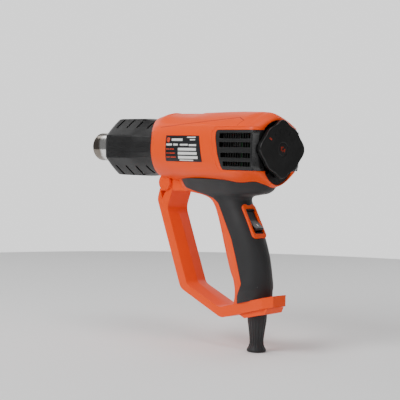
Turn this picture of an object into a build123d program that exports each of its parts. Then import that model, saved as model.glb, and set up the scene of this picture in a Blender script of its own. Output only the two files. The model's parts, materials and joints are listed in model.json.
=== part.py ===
from build123d import *
import math
import os

# Heat gun with an enclosed hand guard. Lengths in millimetres, angles in degrees.
# The origin is the centre of the nozzle's mouth. +X runs back along the blowing axis
# to the temperature dial, +Z is up, and -Y is the tool's left side.

# ---- driving dimensions ----
total_length = 262.0
nozzle_r = 15.0
nozzle_length = 36.9          # bright tube standing out of the barrel
nozzle_wall = 0.8
nozzle_stop = 36.4            # where the tube swells into its stop collar
nozzle_cone_start = 41.0
nozzle_cone_end = 49.0
nozzle_end = 60.0
spider_start = 30.0           # bright divider inside the nozzle
spider_end = 35.0
barrel_r = 28.6
spigot_r = 26.5               # rear end of the barrel, held inside the housing
barrel_end = 128.0
wall = 2.6                    # housing wall
skin = 2.0                    # soft overmould thickness
gap = 0.3                     # clearance between neighbouring parts
dial_front = 256.6
dial_r = 27.0
shaft_r = 3.0                 # potentiometer shaft
motor_r = 17.5
motor_shaft_r = 1.6
motor_start = 176.0
motor_end = 210.0
mount_ring_r = 22.0           # rubber ring round the motor
mount_ring_start = 187.0
mount_ring_end = 198.0
fan_r = 25.0
fan_start = 152.0
fan_end = 166.0
guard_half = 13.5             # half the guard's width
knuckle_x = 117.8
knuckle_z = -35.0
knuckle_r = 8.6
lug_half = 5.8                # half the width of the housing's lug between the guard's ears
foot_pitch = 15.0             # the foot plate rises towards the rear
foot_x = 220.0
foot_z = -145.8
cord_x = 235.0                # axis of the cord's bend relief
cord_hole_r = 3.6
relief_r = 9.3
switch_x = 229.6
switch_z = -67.5
switch_lean = 30.5            # lean of the switch's face from the vertical
rocker_tilt = 12.0            # the rocker rests with its lower end out
rocker_reach = 11.0           # pivot to rocker end
rocker_depth = 3.6            # pivot below the bezel's face
bezel_length = 36.0
bezel_width = 20.0

# Housing cross-sections along X: position, half width, top, bottom, corner radius
body_rows = [
    (92.0, 29.6, 29.6, 29.6, 28.6),
    (106.0, 31.0, 32.6, 31.2, 29.0),
    (120.0, 31.8, 35.2, 32.4, 28.5),
    (160.0, 32.2, 34.8, 33.4, 22.0),
    (205.0, 32.8, 35.2, 34.6, 19.0),
    (243.0, 33.0, 34.0, 35.4, 19.0),
    (256.0, 31.6, 30.4, 33.2, 19.0),
]

# Grip cross-sections down Z: height, front, rear, half width, corner radius
grip_rows = [
    (-40.0, 173.0, 217.0, 18.0, 12.5),
    (-56.0, 181.5, 224.5, 17.6, 12.5),
    (-74.0, 189.2, 235.3, 17.3, 12.5),
    (-92.0, 195.0, 245.0, 17.2, 12.5),
    (-110.0, 201.6, 250.3, 17.0, 12.5),
    (-127.0, 210.4, 251.4, 15.8, 12.0),
    (-142.0, 210.0, 251.2, 14.6, 11.5),
    (-158.0, 207.0, 251.0, 14.2, 11.2),
]

# Side outline of the underbody that carries the grip and the guard's bracket
underbody_side = [
    (127.0, -22.0), (127.0, -43.0), (152.0, -43.0), (170.6, -47.0), (181.0, -55.0), (183.0, -60.0),
    (222.0, -60.0), (220.8, -50.0), (224.0, -44.0), (240.6, -42.4), (249.2, -38.0), (252.5, -33.0),
    (252.5, -22.0),
]
underbody_end = [(-27.0, -22.0), (-24.6, -30.0), (-18.0, -44.0), (-17.4, -60.0)]

# Side outline of the soft black overmould
overmould_side = [
    (148.5, -29.4), (198.4, -30.2), (231.2, -31.0), (246.3, -30.2), (256.0, -33.0), (262.0, -40.0),
    (262.0, -160.0), (221.3, -160.0), (221.5, -138.8), (229.2, -126.6), (214.5, -85.2),
    (200.0, -59.6), (193.7, -48.4), (153.7, -38.9),
]

# Side outline of the vent panel, and the rows of its slots: low and high edge, front and rear end
vent_side = [(205.6, 17.0), (205.4, 9.0), (209.0, -6.0), (214.4, -20.4), (262.0, -20.4), (262.0, 17.0)]
vent_slots = [(8.9, 13.9, 211.0), (0.9, 5.5, 211.0), (-8.7, -4.3, 213.0), (-16.6, -12.4, 216.0)]
vent_slot_end = 252.0
vent_end = 254.6
vent_low = -20.2
vent_high = 16.8

# Dust screen behind each vent panel: two rails joined by upright louvres
screen_start = 210.5
screen_end = 251.7
screen_low = -19.2
screen_high = 16.2
louvre_start = 213.5
louvre_pitch = 3.1
louvre_width = 1.1
louvre_count = 13

# Side outline of the hand guard, outer edge first, then the inner edge back up
guard_side = [
    (109.4, -43.4), (105.8, -52.5), (142.7, -139.1), (199.9, -161.7), (262.5, -144.9), (265.0, -142.0),
    (265.0, -133.8), (196.9, -152.0), (152.0, -134.6), (120.5, -60.5), (130.0, -43.4),
]
guard_pocket = [(110.6, -44.6), (119.2, -44.6), (114.2, -51.6)]


# ---- helpers ----
def side_slab(points, low_y, high_y, round_r=0.0):
    """A side outline given as (x, z), extruded from low_y to high_y."""
    outline = make_face(Polyline(*[(x, low_y, z) for x, z in points], close=True))
    if round_r > 0:
        outline = fillet(outline.vertices(), round_r)
    return extrude(outline, amount=high_y - low_y, dir=(0, 1, 0))


def end_slab(points, low_x, high_x):
    """An end outline given as (y, z) for one side, mirrored about Y = 0 and extruded along X."""
    mirrored = [(-y, z) for y, z in reversed(points)]
    outline = make_face(Polyline(*[(low_x, y, z) for y, z in points + mirrored], close=True))
    return extrude(outline, amount=high_x - low_x, dir=(1, 0, 0))


def block(low, high):
    """A box between two opposite corners."""
    size = [b - a for a, b in zip(low, high)]
    centre = [(a + b) / 2 for a, b in zip(low, high)]
    return Pos(*centre) * Box(*size)


def rod(radius, low_x, high_x, y=0.0, z=0.0):
    """A solid cylinder along X."""
    return Pos((low_x + high_x) / 2, y, z) * Rot(0, 90, 0) * Cylinder(radius, high_x - low_x)


def tube(outer, inner, low_x, high_x):
    """A hollow cylinder along X on the blowing axis."""
    return rod(outer, low_x, high_x) - rod(inner, low_x - 1, high_x + 1)


def cross_rod(radius, low_y, high_y, x, z):
    """A solid cylinder along Y."""
    return Pos(x, (low_y + high_y) / 2, z) * Rot(90, 0, 0) * Cylinder(radius, high_y - low_y)


def post(radius, low_z, high_z, x, y=0.0):
    """A solid cylinder along Z."""
    return Pos(x, y, (low_z + high_z) / 2) * Cylinder(radius, high_z - low_z)


def turned(points):
    """A profile given as (x, r), turned about the blowing axis."""
    outline = make_face(Polyline(*[(x, 0, r) for x, r in points], close=True))
    return revolve(outline, Axis.X, 360)


def body_blank(inset):
    """The housing's body, shrunk on every side by the inset."""
    sections = []
    for x, half_width, top, bottom, corner in body_rows:
        plane = Plane(origin=(x, 0, (top - bottom) / 2), x_dir=(0, 1, 0), z_dir=(1, 0, 0))
        height = top + bottom - 2 * inset
        sections.append(plane * RectangleRounded(2 * (half_width - inset), height, corner - inset))
    return loft(sections)


def grip_blank(inset):
    """The grip, shrunk on every side by the inset."""
    sections = []
    for z, front, rear, half_width, corner in grip_rows:
        plane = Plane(origin=((front + rear) / 2, 0, z))
        length = rear - front - 2 * inset
        sections.append(plane * RectangleRounded(length, 2 * (half_width - inset), corner - inset))
    return loft(sections)


def underbody_blank(inset):
    """The flared block between body and grip, shrunk sideways and from below by the inset."""
    side = make_face(Polyline(*[(x, -40, z) for x, z in underbody_side], close=True))
    lean = [(y + inset, z) for y, z in underbody_end]
    if inset > 0:
        side = offset(side, amount=-inset, kind=Kind.INTERSECTION)
    return extrude(side, amount=80, dir=(0, 1, 0)) & end_slab(lean, 100, 280)


def foot_height(x, drop=0.0):
    """Height of the pitched joint between grip and foot plate."""
    return foot_z - drop + (x - foot_x) * math.tan(math.radians(foot_pitch))


def above_foot(rise):
    """Everything above the pitched foot joint, raised by rise."""
    corners = [(100, foot_height(100, -rise)), (300, foot_height(300, -rise)), (300, 60), (100, 60)]
    return side_slab(corners, -60, 60)


def half_space(side):
    """The block that holds one side of the tool: -1 is left, +1 is right."""
    if side < 0:
        return block((-20, -80, -220), (300, 0, 80))
    return block((-20, 0, -220), (300, 80, 80))


def on_switch(shape):
    """Moves a shape from the switch's own frame to the grip: local X runs down the face, Z points out."""
    return Pos(switch_x, 0, switch_z) * Rot(0, 90 - switch_lean, 0) * shape


def screw(head_r, shank_r, head_h, length):
    """A pan-head screw along -Z with its head's seat at Z = 0 and a cross recess."""
    head = Pos(0, 0, head_h / 2) * Cylinder(head_r, head_h)
    shank = Pos(0, 0, -length / 2) * Cylinder(shank_r, length)
    recess = Box(head_r * 1.2, head_r * 0.3, head_h) + Box(head_r * 0.3, head_r * 1.2, head_h)
    return head + shank - Pos(0, 0, head_h) * recess


def spoke_ring(shape, count, start=0.0):
    """Copies of a shape turned evenly about the blowing axis."""
    return [Rot(start + 360 * i / count, 0, 0) * shape for i in range(count)]


def joined(shapes):
    """The union of a list of shapes."""
    total = shapes[0]
    for shape in shapes[1:]:
        total = total + shape
    return total


# ---- housing halves and overmoulds ----
housing_screw_places = [(156.0, -38.0), (236.0, -35.8), (198.5, -66.0), (216.5, -112.0), (243.0, -128.0)]
guard_screw_x = 216.0
guard_screw_y = 7.5
screw_head_r = 3.1
screw_shank_r = 1.5


def front_edge():
    """What lies ahead of the housing's rim, which is set back at the sides."""
    top = (94.6, 0, 34)
    bottom = (103.5, 0, -34)
    rim = ThreePointArc(top, (111.4, 0, 2), bottom)
    ahead = Polyline(bottom, (60, 0, -34), (60, 0, 34), top)
    return extrude(make_face(rim + ahead), amount=60, dir=(0, 1, 0), both=True)


def overmould_skin():
    """The soft skin on both sides of the grip and underbody."""
    outer = grip_blank(0) + underbody_blank(0)
    core = grip_blank(skin) + underbody_blank(skin)
    region = side_slab(overmould_side, -40, 40)
    return (outer - core) & region & above_foot(0)


def housing_cavity():
    """The hollow inside the housing: body, underbody and grip."""
    deep = wall + skin
    body = body_blank(wall) & block((121.0, -60, -60), (300, 60, 60))
    underbody = underbody_blank(deep) & block((150, -60, -60), (300, 60, -20))
    below = (grip_blank(deep) + underbody) & above_foot(3.0)
    bore = rod(barrel_r + 0.15, 60, 114) + rod(spigot_r + 0.1, 100, 130)
    return body + below + bore


def housing_ribs():
    """Ribs that hold the motor's rubber ring, inside the body."""
    rib = block((mount_ring_start + 4, -1.5, mount_ring_r + 0.1), (mount_ring_end - 4, 1.5, 44))
    ribs = [Rot(angle, 0, 0) * rib for angle in (45, 90, 135, 225, 270, 315)]
    return joined(ribs) & body_blank(0.6)


def screw_bosses():
    """Bosses for the housing screws, run between the two walls."""
    bosses = [cross_rod(4.4, -30, 30, x, z) for x, z in housing_screw_places]
    inside = body_blank(1.0) + grip_blank(skin + 0.6) + underbody_blank(skin + 0.6)
    return joined(bosses) & inside & above_foot(1.0)


def switch_seat():
    """The opening for the switch: a wide seat for its bezel over a narrower hole for its body."""
    wide = Pos(0, 0, 8.7) * Box(bezel_length + 0.4, bezel_width + 0.4, 23)
    return on_switch(wide + Pos(0, 0, -12) * Box(27, 14.4, 40))


def knuckle_pocket():
    """Room in the housing for the guard's two ears and their caps."""
    pockets = []
    for side in (-1, 1):
        low_y, high_y = sorted((side * 16.0, side * (lug_half + 0.1)))
        pockets.append(cross_rod(knuckle_r + gap, low_y, high_y, knuckle_x, knuckle_z))
        pockets.append(block((108, low_y, -50), (127.2, high_y, knuckle_z)))
    return joined(pockets)


def housing_whole(skin_part):
    """Both housing halves in one piece, before they are split."""
    outer = body_blank(0) + (grip_blank(0) + underbody_blank(0)) - skin_part
    lug = cross_rod(knuckle_r, -lug_half, lug_half, knuckle_x, knuckle_z)
    lug = lug + block((118, -lug_half, -42.4), (130, lug_half, -25))
    narrow = block((100, -60, -60), (146, -guard_half, -31)) + block((100, guard_half, -60), (146, 60, -31))
    outer = outer - narrow + lug
    shell = outer - housing_cavity()
    shell = shell + housing_ribs() + screw_bosses()
    shell = shell - front_edge() - rod(barrel_r + 0.15, 60, 114)
    shell = shell - side_slab(vent_side, -60, -20) - side_slab(vent_side, 20, 60)
    rear_seat = body_blank(wall) & block((246, -60, -60), (300, 60, 60))
    shell = (shell - rear_seat) & above_foot(0)
    shell = shell - switch_seat()
    shell = shell - post(relief_r + 0.2, -170, -130, cord_x)
    shell = shell - knuckle_pocket() - cross_rod(2.6, -20, 20, knuckle_x, knuckle_z)
    for y in (-guard_screw_y, guard_screw_y):
        shell = shell - post(screw_shank_r, -160, -130, guard_screw_x, y)
    for x, z in housing_screw_places:
        shell = shell - cross_rod(screw_shank_r, -12, 40, x, z) - cross_rod(screw_head_r + 0.2, 6.0, 40, x, z)
    return shell


def make_housing():
    skin_part = overmould_skin()
    for x, z in housing_screw_places:
        skin_part = skin_part - cross_rod(screw_head_r + 0.2, 2.0, 40, x, z)
    skin_part = skin_part - body_blank(0) - switch_seat()
    shell = housing_whole(skin_part)
    nodes = {}
    for name, side in (("left", -1), ("right", 1)):
        nodes[name + "_housing"] = shell & half_space(side)
        nodes[name + "_grip_overmould"] = skin_part & half_space(side)
    screws = []
    for x, z in housing_screw_places:
        placed = Pos(x, 6.0, z) * Rot(-90, 0, 0) * screw(screw_head_r, screw_shank_r, 2.4, 17)
        screws.append(placed)
    nodes["housing_screws"] = screws
    return nodes


# ---- barrel, nozzle and heater ----
def make_barrel():
    front = nozzle_length
    inner = barrel_r - 2.4
    points = [
        (front, nozzle_r + 0.6), (front, barrel_r - 3.2), (front + 2.6, barrel_r - 0.6),
        (front + 7.6, barrel_r),
        (112.8, barrel_r), (112.8, spigot_r), (barrel_end, spigot_r), (barrel_end, spigot_r - 1.4),
        (front + 8, inner), (front + 3, barrel_r - 4.6), (front + 3, nozzle_r + 0.6),
    ]
    barrel = turned(points)
    slot = Pos(0, 0, barrel_r) * Rot(0, 0, 4) * Box(2.0, 13.0, 12)
    for start in (50.9, 66.8, 82.4, 98.0):
        for angle in (36, 144, 216, 324):
            barrel = barrel - Pos(start, 0, 0) * Rot(angle, 0, 0) * slot
    rib = block((front + 7.6, -0.5, barrel_r - 0.6), (108.6, 0.5, barrel_r + 0.3))
    ribs = []
    for side in (90, 270):
        ribs += [Rot(side + step * 10.4, 0, 0) * rib for step in (-2, -1, 0, 1, 2)]
    return {"barrel_sleeve": joined([barrel] + ribs)}


def make_nozzle():
    collar_r = nozzle_r + 0.3
    skirt_r = nozzle_r + 5.8
    bore_r = nozzle_r - nozzle_wall
    skirt_bore_r = skirt_r - nozzle_wall
    outer = [
        (0, nozzle_r), (nozzle_stop, nozzle_r), (nozzle_stop, collar_r), (nozzle_cone_start, collar_r),
        (nozzle_cone_end, skirt_r), (nozzle_end, skirt_r),
    ]
    inner = [
        (nozzle_end, skirt_bore_r), (nozzle_cone_end + gap, skirt_bore_r), (nozzle_cone_start + gap, bore_r),
        (0, bore_r),
    ]
    ring = tube(bore_r, bore_r - 0.7, spider_start, spider_end)
    reach = bore_r - 0.3
    blade = block((spider_start, -0.4, -reach), (spider_end, 0.4, reach))
    spider = joined([ring] + [Rot(angle, 0, 0) * blade for angle in (0, 60, 120)])
    return {"nozzle_tube": turned(outer + inner), "outlet_spider": spider}


def make_heater():
    nodes = {}
    tube_r = nozzle_r + 5.0
    tube_start = 49.6
    tube_wall = 0.6
    shield_r = spigot_r - 1.6
    sleeve_r = tube_r - tube_wall - 0.1
    former_r = 16.3
    former_start = 62.0
    former_end = 122.0
    wire_r = 0.5
    coil_start = 67.0
    coil_length = 50.0
    disc_start = 122.8
    disc_end = 127.6
    holder_end = 133.0
    holder_bore_r = 16.5
    nodes["heat_tube"] = tube(tube_r, tube_r - tube_wall, tube_start, barrel_end)
    nodes["heat_shield"] = tube(shield_r, shield_r - tube_wall, 46.0, barrel_end - 2)
    nodes["mica_sleeve"] = tube(sleeve_r, sleeve_r - 0.7, 58.0, disc_start - 0.2)
    plate = block((former_start, -0.6, -former_r), (former_end, 0.6, former_r))
    nodes["mica_former"] = plate + Rot(90, 0, 0) * plate
    coil_r = former_r + wire_r + 0.1
    turns = Helix(pitch=5.0, height=coil_length, radius=coil_r, center=(0, 0, 0), direction=(0, 0, 1))
    wire = sweep(Plane(origin=turns @ 0, z_dir=turns % 0) * Circle(wire_r), path=turns, is_frenet=True)
    nodes["heating_coil"] = Pos(coil_start, 0, 0) * Rot(0, 90, 0) * wire
    hole = rod(2.7, 120, 130, z=12.5)
    disc = rod(tube_r - tube_wall - 0.1, disc_start, disc_end)
    nodes["ceramic_disc"] = disc - spoke_ring(hole, 9) - rod(5.0, 120, 130)
    holder_start = barrel_end + 0.1
    nodes["element_holder"] = tube(spigot_r - gap, holder_bore_r, holder_start, holder_end)
    cutout = rod(4.0, holder_end + 0.2, holder_end + 4.4, z=17.2)
    nodes["thermal_cutout"] = cutout + block((holder_end + 4.4, -1.5, 15.2), (holder_end + 7.5, 1.5, 16.0))
    return nodes


# ---- fan and motor ----
def make_air_path():
    shroud_r = fan_r + 1.2
    throat_r = 22.0
    duct_wall = 1.5
    duct_start = 133.2
    duct_end = 174.0
    hub_r = 9.0
    blade_count = 9
    blade_pitch = 38.0
    stay_start = motor_start - 5.6
    profile = [
        (duct_start, throat_r), (142, shroud_r), (duct_end, shroud_r), (duct_end, shroud_r + duct_wall),
        (141.6, shroud_r + duct_wall), (duct_start, throat_r + 2.0),
    ]
    stay = block((stay_start, -1.5, 6), (stay_start + 3.2, 1.5, shroud_r + 0.6))
    hub = tube(hub_r, 5.1, stay_start, motor_start - 0.2)
    nodes = {"air_duct": joined([turned(profile), hub] + spoke_ring(stay, 5))}
    blade_middle = Pos((fan_start + fan_end) / 2, 0, (hub_r + fan_r) / 2 - 0.5)
    blade = blade_middle * Rot(0, 0, blade_pitch) * Box(1.4, 15.0, fan_r - hub_r + 1)
    blade = blade & tube(fan_r, 4.0, fan_start, fan_end)
    impeller = joined([rod(hub_r, fan_start, fan_end)] + spoke_ring(blade, blade_count))
    nodes["fan_impeller"] = impeller - rod(motor_shaft_r, fan_start - 10, fan_end + 10)
    return nodes


def make_motor():
    nodes = {}
    bearing_r = 5.0
    shaft_hole_r = motor_shaft_r + 0.05
    armature_r = motor_r - 5.5
    can = tube(motor_r, motor_r - 0.9, motor_start, motor_end)
    front = rod(motor_r, motor_start, motor_start + 1.2) + rod(bearing_r, motor_start - 4.5, motor_start)
    nodes["motor_can"] = can + front - rod(shaft_hole_r, motor_start - 10, motor_start + 5)
    cap = rod(motor_r - 0.95, motor_end - 2.4, motor_end - 0.1)
    cap = cap + rod(bearing_r, motor_end - 0.2, motor_end + 3.5)
    nodes["motor_end_cap"] = cap - rod(shaft_hole_r, motor_end - 10, motor_end + 10)
    arc = tube(motor_r - 1.0, motor_r - 5.0, motor_start + 4, motor_end - 6)
    nodes["motor_magnets"] = [
        arc & block((motor_start, 3.5, -motor_r), (motor_end, motor_r, motor_r)),
        arc & block((motor_start, -motor_r, -motor_r), (motor_end, -3.5, motor_r)),
    ]
    nodes["motor_shaft"] = rod(motor_shaft_r, fan_start - 3, motor_end + 5)
    bore = rod(motor_shaft_r, motor_start - 5, motor_end + 10)
    winding_slot = block((motor_start + 4, -1.0, armature_r - 2.5), (motor_end - 6, 1.0, armature_r + 1))
    core = rod(armature_r, motor_start + 5, motor_end - 8) - bore
    nodes["armature"] = core - spoke_ring(winding_slot, 5)
    nodes["commutator"] = rod(4.2, motor_end - 7.9, motor_end - 3.0) - bore
    nodes["motor_mount_ring"] = tube(mount_ring_r, motor_r, mount_ring_start, mount_ring_end)
    return nodes


# ---- rear end: vents, cover, control and dial ----
def make_vents():
    nodes = {}
    outer = body_blank(0.2) - body_blank(wall)
    for name, side in (("left", -1), ("right", 1)):
        region = side_slab(vent_side, *sorted((side * 20.0, side * 40.0)))
        panel = outer & region & block((205.8, -40, vent_low), (vent_end, 40, vent_high))
        for low, high, start in vent_slots:
            panel = panel - block((start, -40, low), (vent_slot_end, 40, high))
        louvres = []
        low_y, high_y = sorted((side * 28.4, side * 29.4))
        for i in range(louvre_count):
            x = louvre_start + i * louvre_pitch
            louvres.append(block((x, low_y, screen_low + 1.6), (x + louvre_width, high_y, screen_high - 1.6)))
        frame_top = block((screen_start, low_y, screen_high - 1.8), (screen_end, high_y, screen_high))
        frame_low = block((screen_start, low_y, screen_low), (screen_end, high_y, screen_low + 1.8))
        nodes[name + "_vent_panel"] = panel
        nodes[name + "_dust_screen"] = joined([frame_top, frame_low] + louvres)
    return nodes


cover_end = 256.0
cover_seat = 254.4            # the screw heads' seat
cover_screw_places = [(15.0, 20.0), (-15.0, 20.0), (15.0, -20.0), (-15.0, -20.0)]


def make_rear_cover():
    band = body_blank(0.2) & block((vent_end + 0.1, -40, vent_low), (cover_end, 40, vent_high))
    plug = body_blank(wall + 0.1) & block((vent_slot_end, -40, -40), (cover_end, 40, 40))
    ring = body_blank(wall + 0.1) - body_blank(wall + 2.2)
    spigot = ring & block((vent_slot_end - 5, -40, -40), (vent_slot_end + 0.1, 40, 40))
    clear = block((200, 20, -20), (252, 40, 17)) + block((200, -40, -20), (252, -20, 17))
    cover = band + plug + (spigot - clear)
    for y, z in cover_screw_places:
        cover = cover - rod(screw_shank_r + 0.1, 240, 270, y, z)
        cover = cover - rod(screw_head_r + 0.2, cover_seat, 270, y, z)
    cover = cover - rod(5.1, 240, 270)
    cover_screw = Rot(0, 90, 0) * screw(screw_head_r, screw_shank_r, 1.5, 9)
    screws = [Pos(cover_seat, y, z) * cover_screw for y, z in cover_screw_places]
    return {"rear_cover": cover, "cover_screws": screws}


def make_control():
    nodes = {}
    board_x = 228.0
    nodes["circuit_board"] = block((board_x, -20, -17), (board_x + 1.6, 20, 17)) - rod(3.4, 220, 240)
    pot = block((board_x + 1.7, -8, -9), (board_x + 9, 8, 8)) + rod(4.8, board_x + 9, 253.0)
    nodes["potentiometer"] = pot - rod(shaft_r + 0.05, board_x + 3, 260)
    base = block((board_x - 3, -18, 2), (board_x - 0.1, -5, 16))
    fins = []
    for i in range(4):
        fin_y = -18 + 3.8 * i
        fins.append(block((board_x - 13, fin_y, 2), (board_x - 2.9, fin_y + 1.6, 16)))
    nodes["heat_sink"] = joined([base] + fins)
    nodes["power_switch_chip"] = block((board_x - 4.6, -17, -10), (board_x - 0.1, -7, 1.8))
    nodes["capacitor"] = rod(5.0, board_x - 13, board_x - 0.1, 11, 9)
    nodes["relay_box"] = block((board_x - 12, 3, -14), (board_x - 0.1, 18, 0))
    return nodes


def make_dial():
    steps = 144
    outline = []
    for i in range(steps):
        angle = 2 * math.pi * i / steps
        radius = dial_r + 2.4 * math.cos(4 * angle) + 1.0 * math.cos(8 * angle)
        outline.append((dial_front, radius * math.cos(angle), radius * math.sin(angle)))
    face = make_face(Spline(*outline, periodic=True))
    dial = extrude(face, amount=total_length - dial_front, dir=(1, 0, 0))
    rear_edges = dial.faces().sort_by(Axis.X)[-1].edges()
    dial = chamfer(rear_edges, 0.8)
    dial = dial - rod(shaft_r, 250, 260.2) - rod(6.3, 261.2, 270)
    nodes = {"temperature_dial": dial}
    nodes["dial_cap"] = rod(6.2, 261.2, total_length)
    nodes["potentiometer_shaft"] = rod(shaft_r, 231.5, 260.1)
    return nodes


# ---- switch ----
def make_switch():
    nodes = {}
    swing = cross_rod(rocker_reach + 0.5, -6.2, 6.2, 0, -rocker_depth)
    frame = Pos(0, 0, -0.9) * Box(bezel_length, bezel_width, 3.4) - Pos(0, 0, -0.9) * Box(26.4, 13.6, 10)
    nodes["switch_bezel"] = on_switch(frame)
    body = Pos(0, 0, -11.4) * Box(26.0, 13.4, 20.0)
    body = body - swing - cross_rod(1.0, -20, 20, 0, -rocker_depth) - Pos(0, 0, 2) * Box(23.2, 12.4, 10)
    tags = [Pos(x, 0, -24.5) * Box(0.8, 4.8, 7.0) for x in (-7, 0, 7)]
    nodes["switch_body"] = on_switch(joined([body] + tags))
    outline = [(-12, 3.4), (0, 0.6), (12, 3.4), (12, -6.2), (-12, -6.2)]
    rocker = side_slab(outline, -5.6, 5.6) & cross_rod(rocker_reach, -6, 6, 0, -rocker_depth)
    rocker = rocker - cross_rod(1.05, -10, 10, 0, -rocker_depth)
    tilted = Pos(0, 0, -rocker_depth) * Rot(0, -rocker_tilt, 0) * Pos(0, 0, rocker_depth) * rocker
    nodes["switch_rocker"] = on_switch(tilted)
    nodes["rocker_pin"] = on_switch(cross_rod(1.0, -6.7, 6.7, 0, -rocker_depth))
    return nodes


# ---- guard, foot and cord entry ----
def make_guard():
    nodes = {}
    loop = side_slab(guard_side, -guard_half, guard_half)
    loop = loop - side_slab(guard_pocket, -guard_half - 1, -guard_half + 9)
    loop = loop - side_slab(guard_pocket, guard_half - 9, guard_half + 1)
    ear_side = [(109.2, -44.0), (109.2, -34.0), (126.4, -34.0), (126.4, -44.0)]
    for side in (-1, 1):
        low_y, high_y = sorted((side * 6.1, side * 13.3))
        ear = cross_rod(knuckle_r, low_y, high_y, knuckle_x, knuckle_z)
        loop = loop + ear + side_slab(ear_side, low_y, high_y)
    loop = loop - cross_rod(2.55, -30, 30, knuckle_x, knuckle_z) - rod(barrel_r + 0.4, 60, 115)
    loop = loop - post(relief_r + 0.2, -180, -120, cord_x)
    screws = []
    seat_z = foot_height(guard_screw_x, 5.0)
    for y in (-guard_screw_y, guard_screw_y):
        loop = loop - post(screw_shank_r + 0.1, -170, -140, guard_screw_x, y)
        loop = loop - post(screw_head_r + 0.2, -175, seat_z, guard_screw_x, y)
        guard_screw = Rot(180, 0, 0) * screw(screw_head_r, screw_shank_r, 2.2, 7.0)
        screws.append(Pos(guard_screw_x, y, seat_z) * guard_screw)
    nodes["front_guard"] = loop
    nodes["guard_screws"] = screws
    nodes["guard_bolt"] = cross_rod(2.5, -13.4, 13.4, knuckle_x, knuckle_z)
    caps = []
    for side in (-1, 1):
        low_y, high_y = sorted((side * 13.45, side * 15.0))
        caps.append(cross_rod(knuckle_r, low_y, high_y, knuckle_x, knuckle_z))
    nodes["knuckle_caps"] = caps
    collar_side = [(222.2, -155.9), (228.9, -158.7), (255.3, -151.8), (257.5, -146.5)]
    nodes["cord_collar"] = side_slab(collar_side, -11.5, 11.5) - post(relief_r + 0.2, -170, -130, cord_x)
    return nodes


def make_cord_entry():
    nodes = {}
    profile = [
        (cord_hole_r, -132), (10.3, -132), (10.3, -135.6), (relief_r, -135.6), (relief_r, -160), (8.3, -166),
        (7.1, -174), (6.5, -180), (7.2, -184.5), (9.2, -188), (9.2, -190), (cord_hole_r, -190),
    ]
    outline = make_face(Polyline(*[(cord_x + r, 0, z) for r, z in profile], close=True))
    axis = Axis((cord_x, 0, 0), (0, 0, 1))
    nodes["bend_relief"] = revolve(outline, axis, 360)
    bar = block((224.6, -4.5, -122.0), (245.4, 4.5, -118.0)) - post(cord_hole_r + 0.4, -135, -120, cord_x)
    nodes["cord_clamp"] = bar
    terminal = block((214, -6, -104), (232, 6, -92))
    for y in (-3, 3):
        terminal = terminal - rod(1.6, 210, 236, y, -98) - post(1.4, -98, -90, 223, y)
    nodes["terminal_block"] = terminal
    return nodes


lead_r = 0.9


def lead(points, radius):
    """An insulated lead along a run of points with a round section."""
    path = Polyline(*points)
    section = Plane(origin=path @ 0, z_dir=path % 0) * Circle(radius)
    return sweep(section, path=path, transition=Transition.ROUND)


def make_leads():
    nodes = {}
    supply = []
    for y in (-3, 3):
        supply.append(lead([(213.4, y, -98), (208.5, y, -96), (208.2, y, -89.6)], lead_r))
    element = []
    for y in (-6, 6):
        run = [(134.0, y, -25.4), (139, y, -29.5), (180, y, -29.8), (222, y, -26), (222, y, -18)]
        element.append(lead(run, lead_r))
    nodes["supply_leads"] = supply
    nodes["element_leads"] = element
    return nodes


def make_label():
    outline = [(136.6, 11.6), (183.7, 11.4), (184.9, 0.8), (188.6, -13.6), (136.3, -13.6)]
    plate = side_slab(outline, -40, -20, 1.2)
    return {"rating_label": plate & (body_blank(-0.35) - body_blank(0.0))}


def main():
    os.makedirs("parts", exist_ok=True)
    nodes = {}
    makers = [
        make_housing, make_barrel, make_nozzle, make_heater, make_air_path, make_motor, make_vents,
        make_rear_cover, make_control, make_dial, make_switch, make_guard, make_cord_entry, make_leads,
        make_label,
    ]
    for maker in makers:
        nodes.update(maker())
    for name, shape in nodes.items():
        if isinstance(shape, list):
            shape = Compound(children=shape)
        export_step(shape, f"parts/{name}.step")


main()
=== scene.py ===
import json
import bpy
import bmesh
import numpy as np
from mathutils import Matrix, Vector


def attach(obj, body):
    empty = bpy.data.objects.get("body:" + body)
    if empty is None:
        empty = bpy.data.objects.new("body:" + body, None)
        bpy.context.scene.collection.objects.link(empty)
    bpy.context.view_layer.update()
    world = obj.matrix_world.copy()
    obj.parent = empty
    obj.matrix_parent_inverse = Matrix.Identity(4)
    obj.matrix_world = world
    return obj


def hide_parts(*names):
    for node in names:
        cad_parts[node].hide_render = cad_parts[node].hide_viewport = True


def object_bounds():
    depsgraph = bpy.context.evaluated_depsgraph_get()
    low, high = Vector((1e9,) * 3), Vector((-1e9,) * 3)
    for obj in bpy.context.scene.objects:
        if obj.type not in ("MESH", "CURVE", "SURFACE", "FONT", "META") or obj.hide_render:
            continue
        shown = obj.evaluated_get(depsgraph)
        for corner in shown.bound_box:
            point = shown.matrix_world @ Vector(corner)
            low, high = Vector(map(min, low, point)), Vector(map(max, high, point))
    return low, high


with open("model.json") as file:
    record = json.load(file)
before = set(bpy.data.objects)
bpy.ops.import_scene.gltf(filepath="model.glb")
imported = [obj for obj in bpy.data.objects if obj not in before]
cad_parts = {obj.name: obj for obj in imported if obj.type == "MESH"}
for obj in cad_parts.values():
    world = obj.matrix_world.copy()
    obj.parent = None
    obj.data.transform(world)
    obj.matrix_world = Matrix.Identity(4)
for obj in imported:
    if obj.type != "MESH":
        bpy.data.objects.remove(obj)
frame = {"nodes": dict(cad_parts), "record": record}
cadBox = [[float(v) for v in corner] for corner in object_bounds()]
millimetre = 0.001
pi = np.pi
nodes = frame["nodes"]
print("frame loaded")


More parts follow.
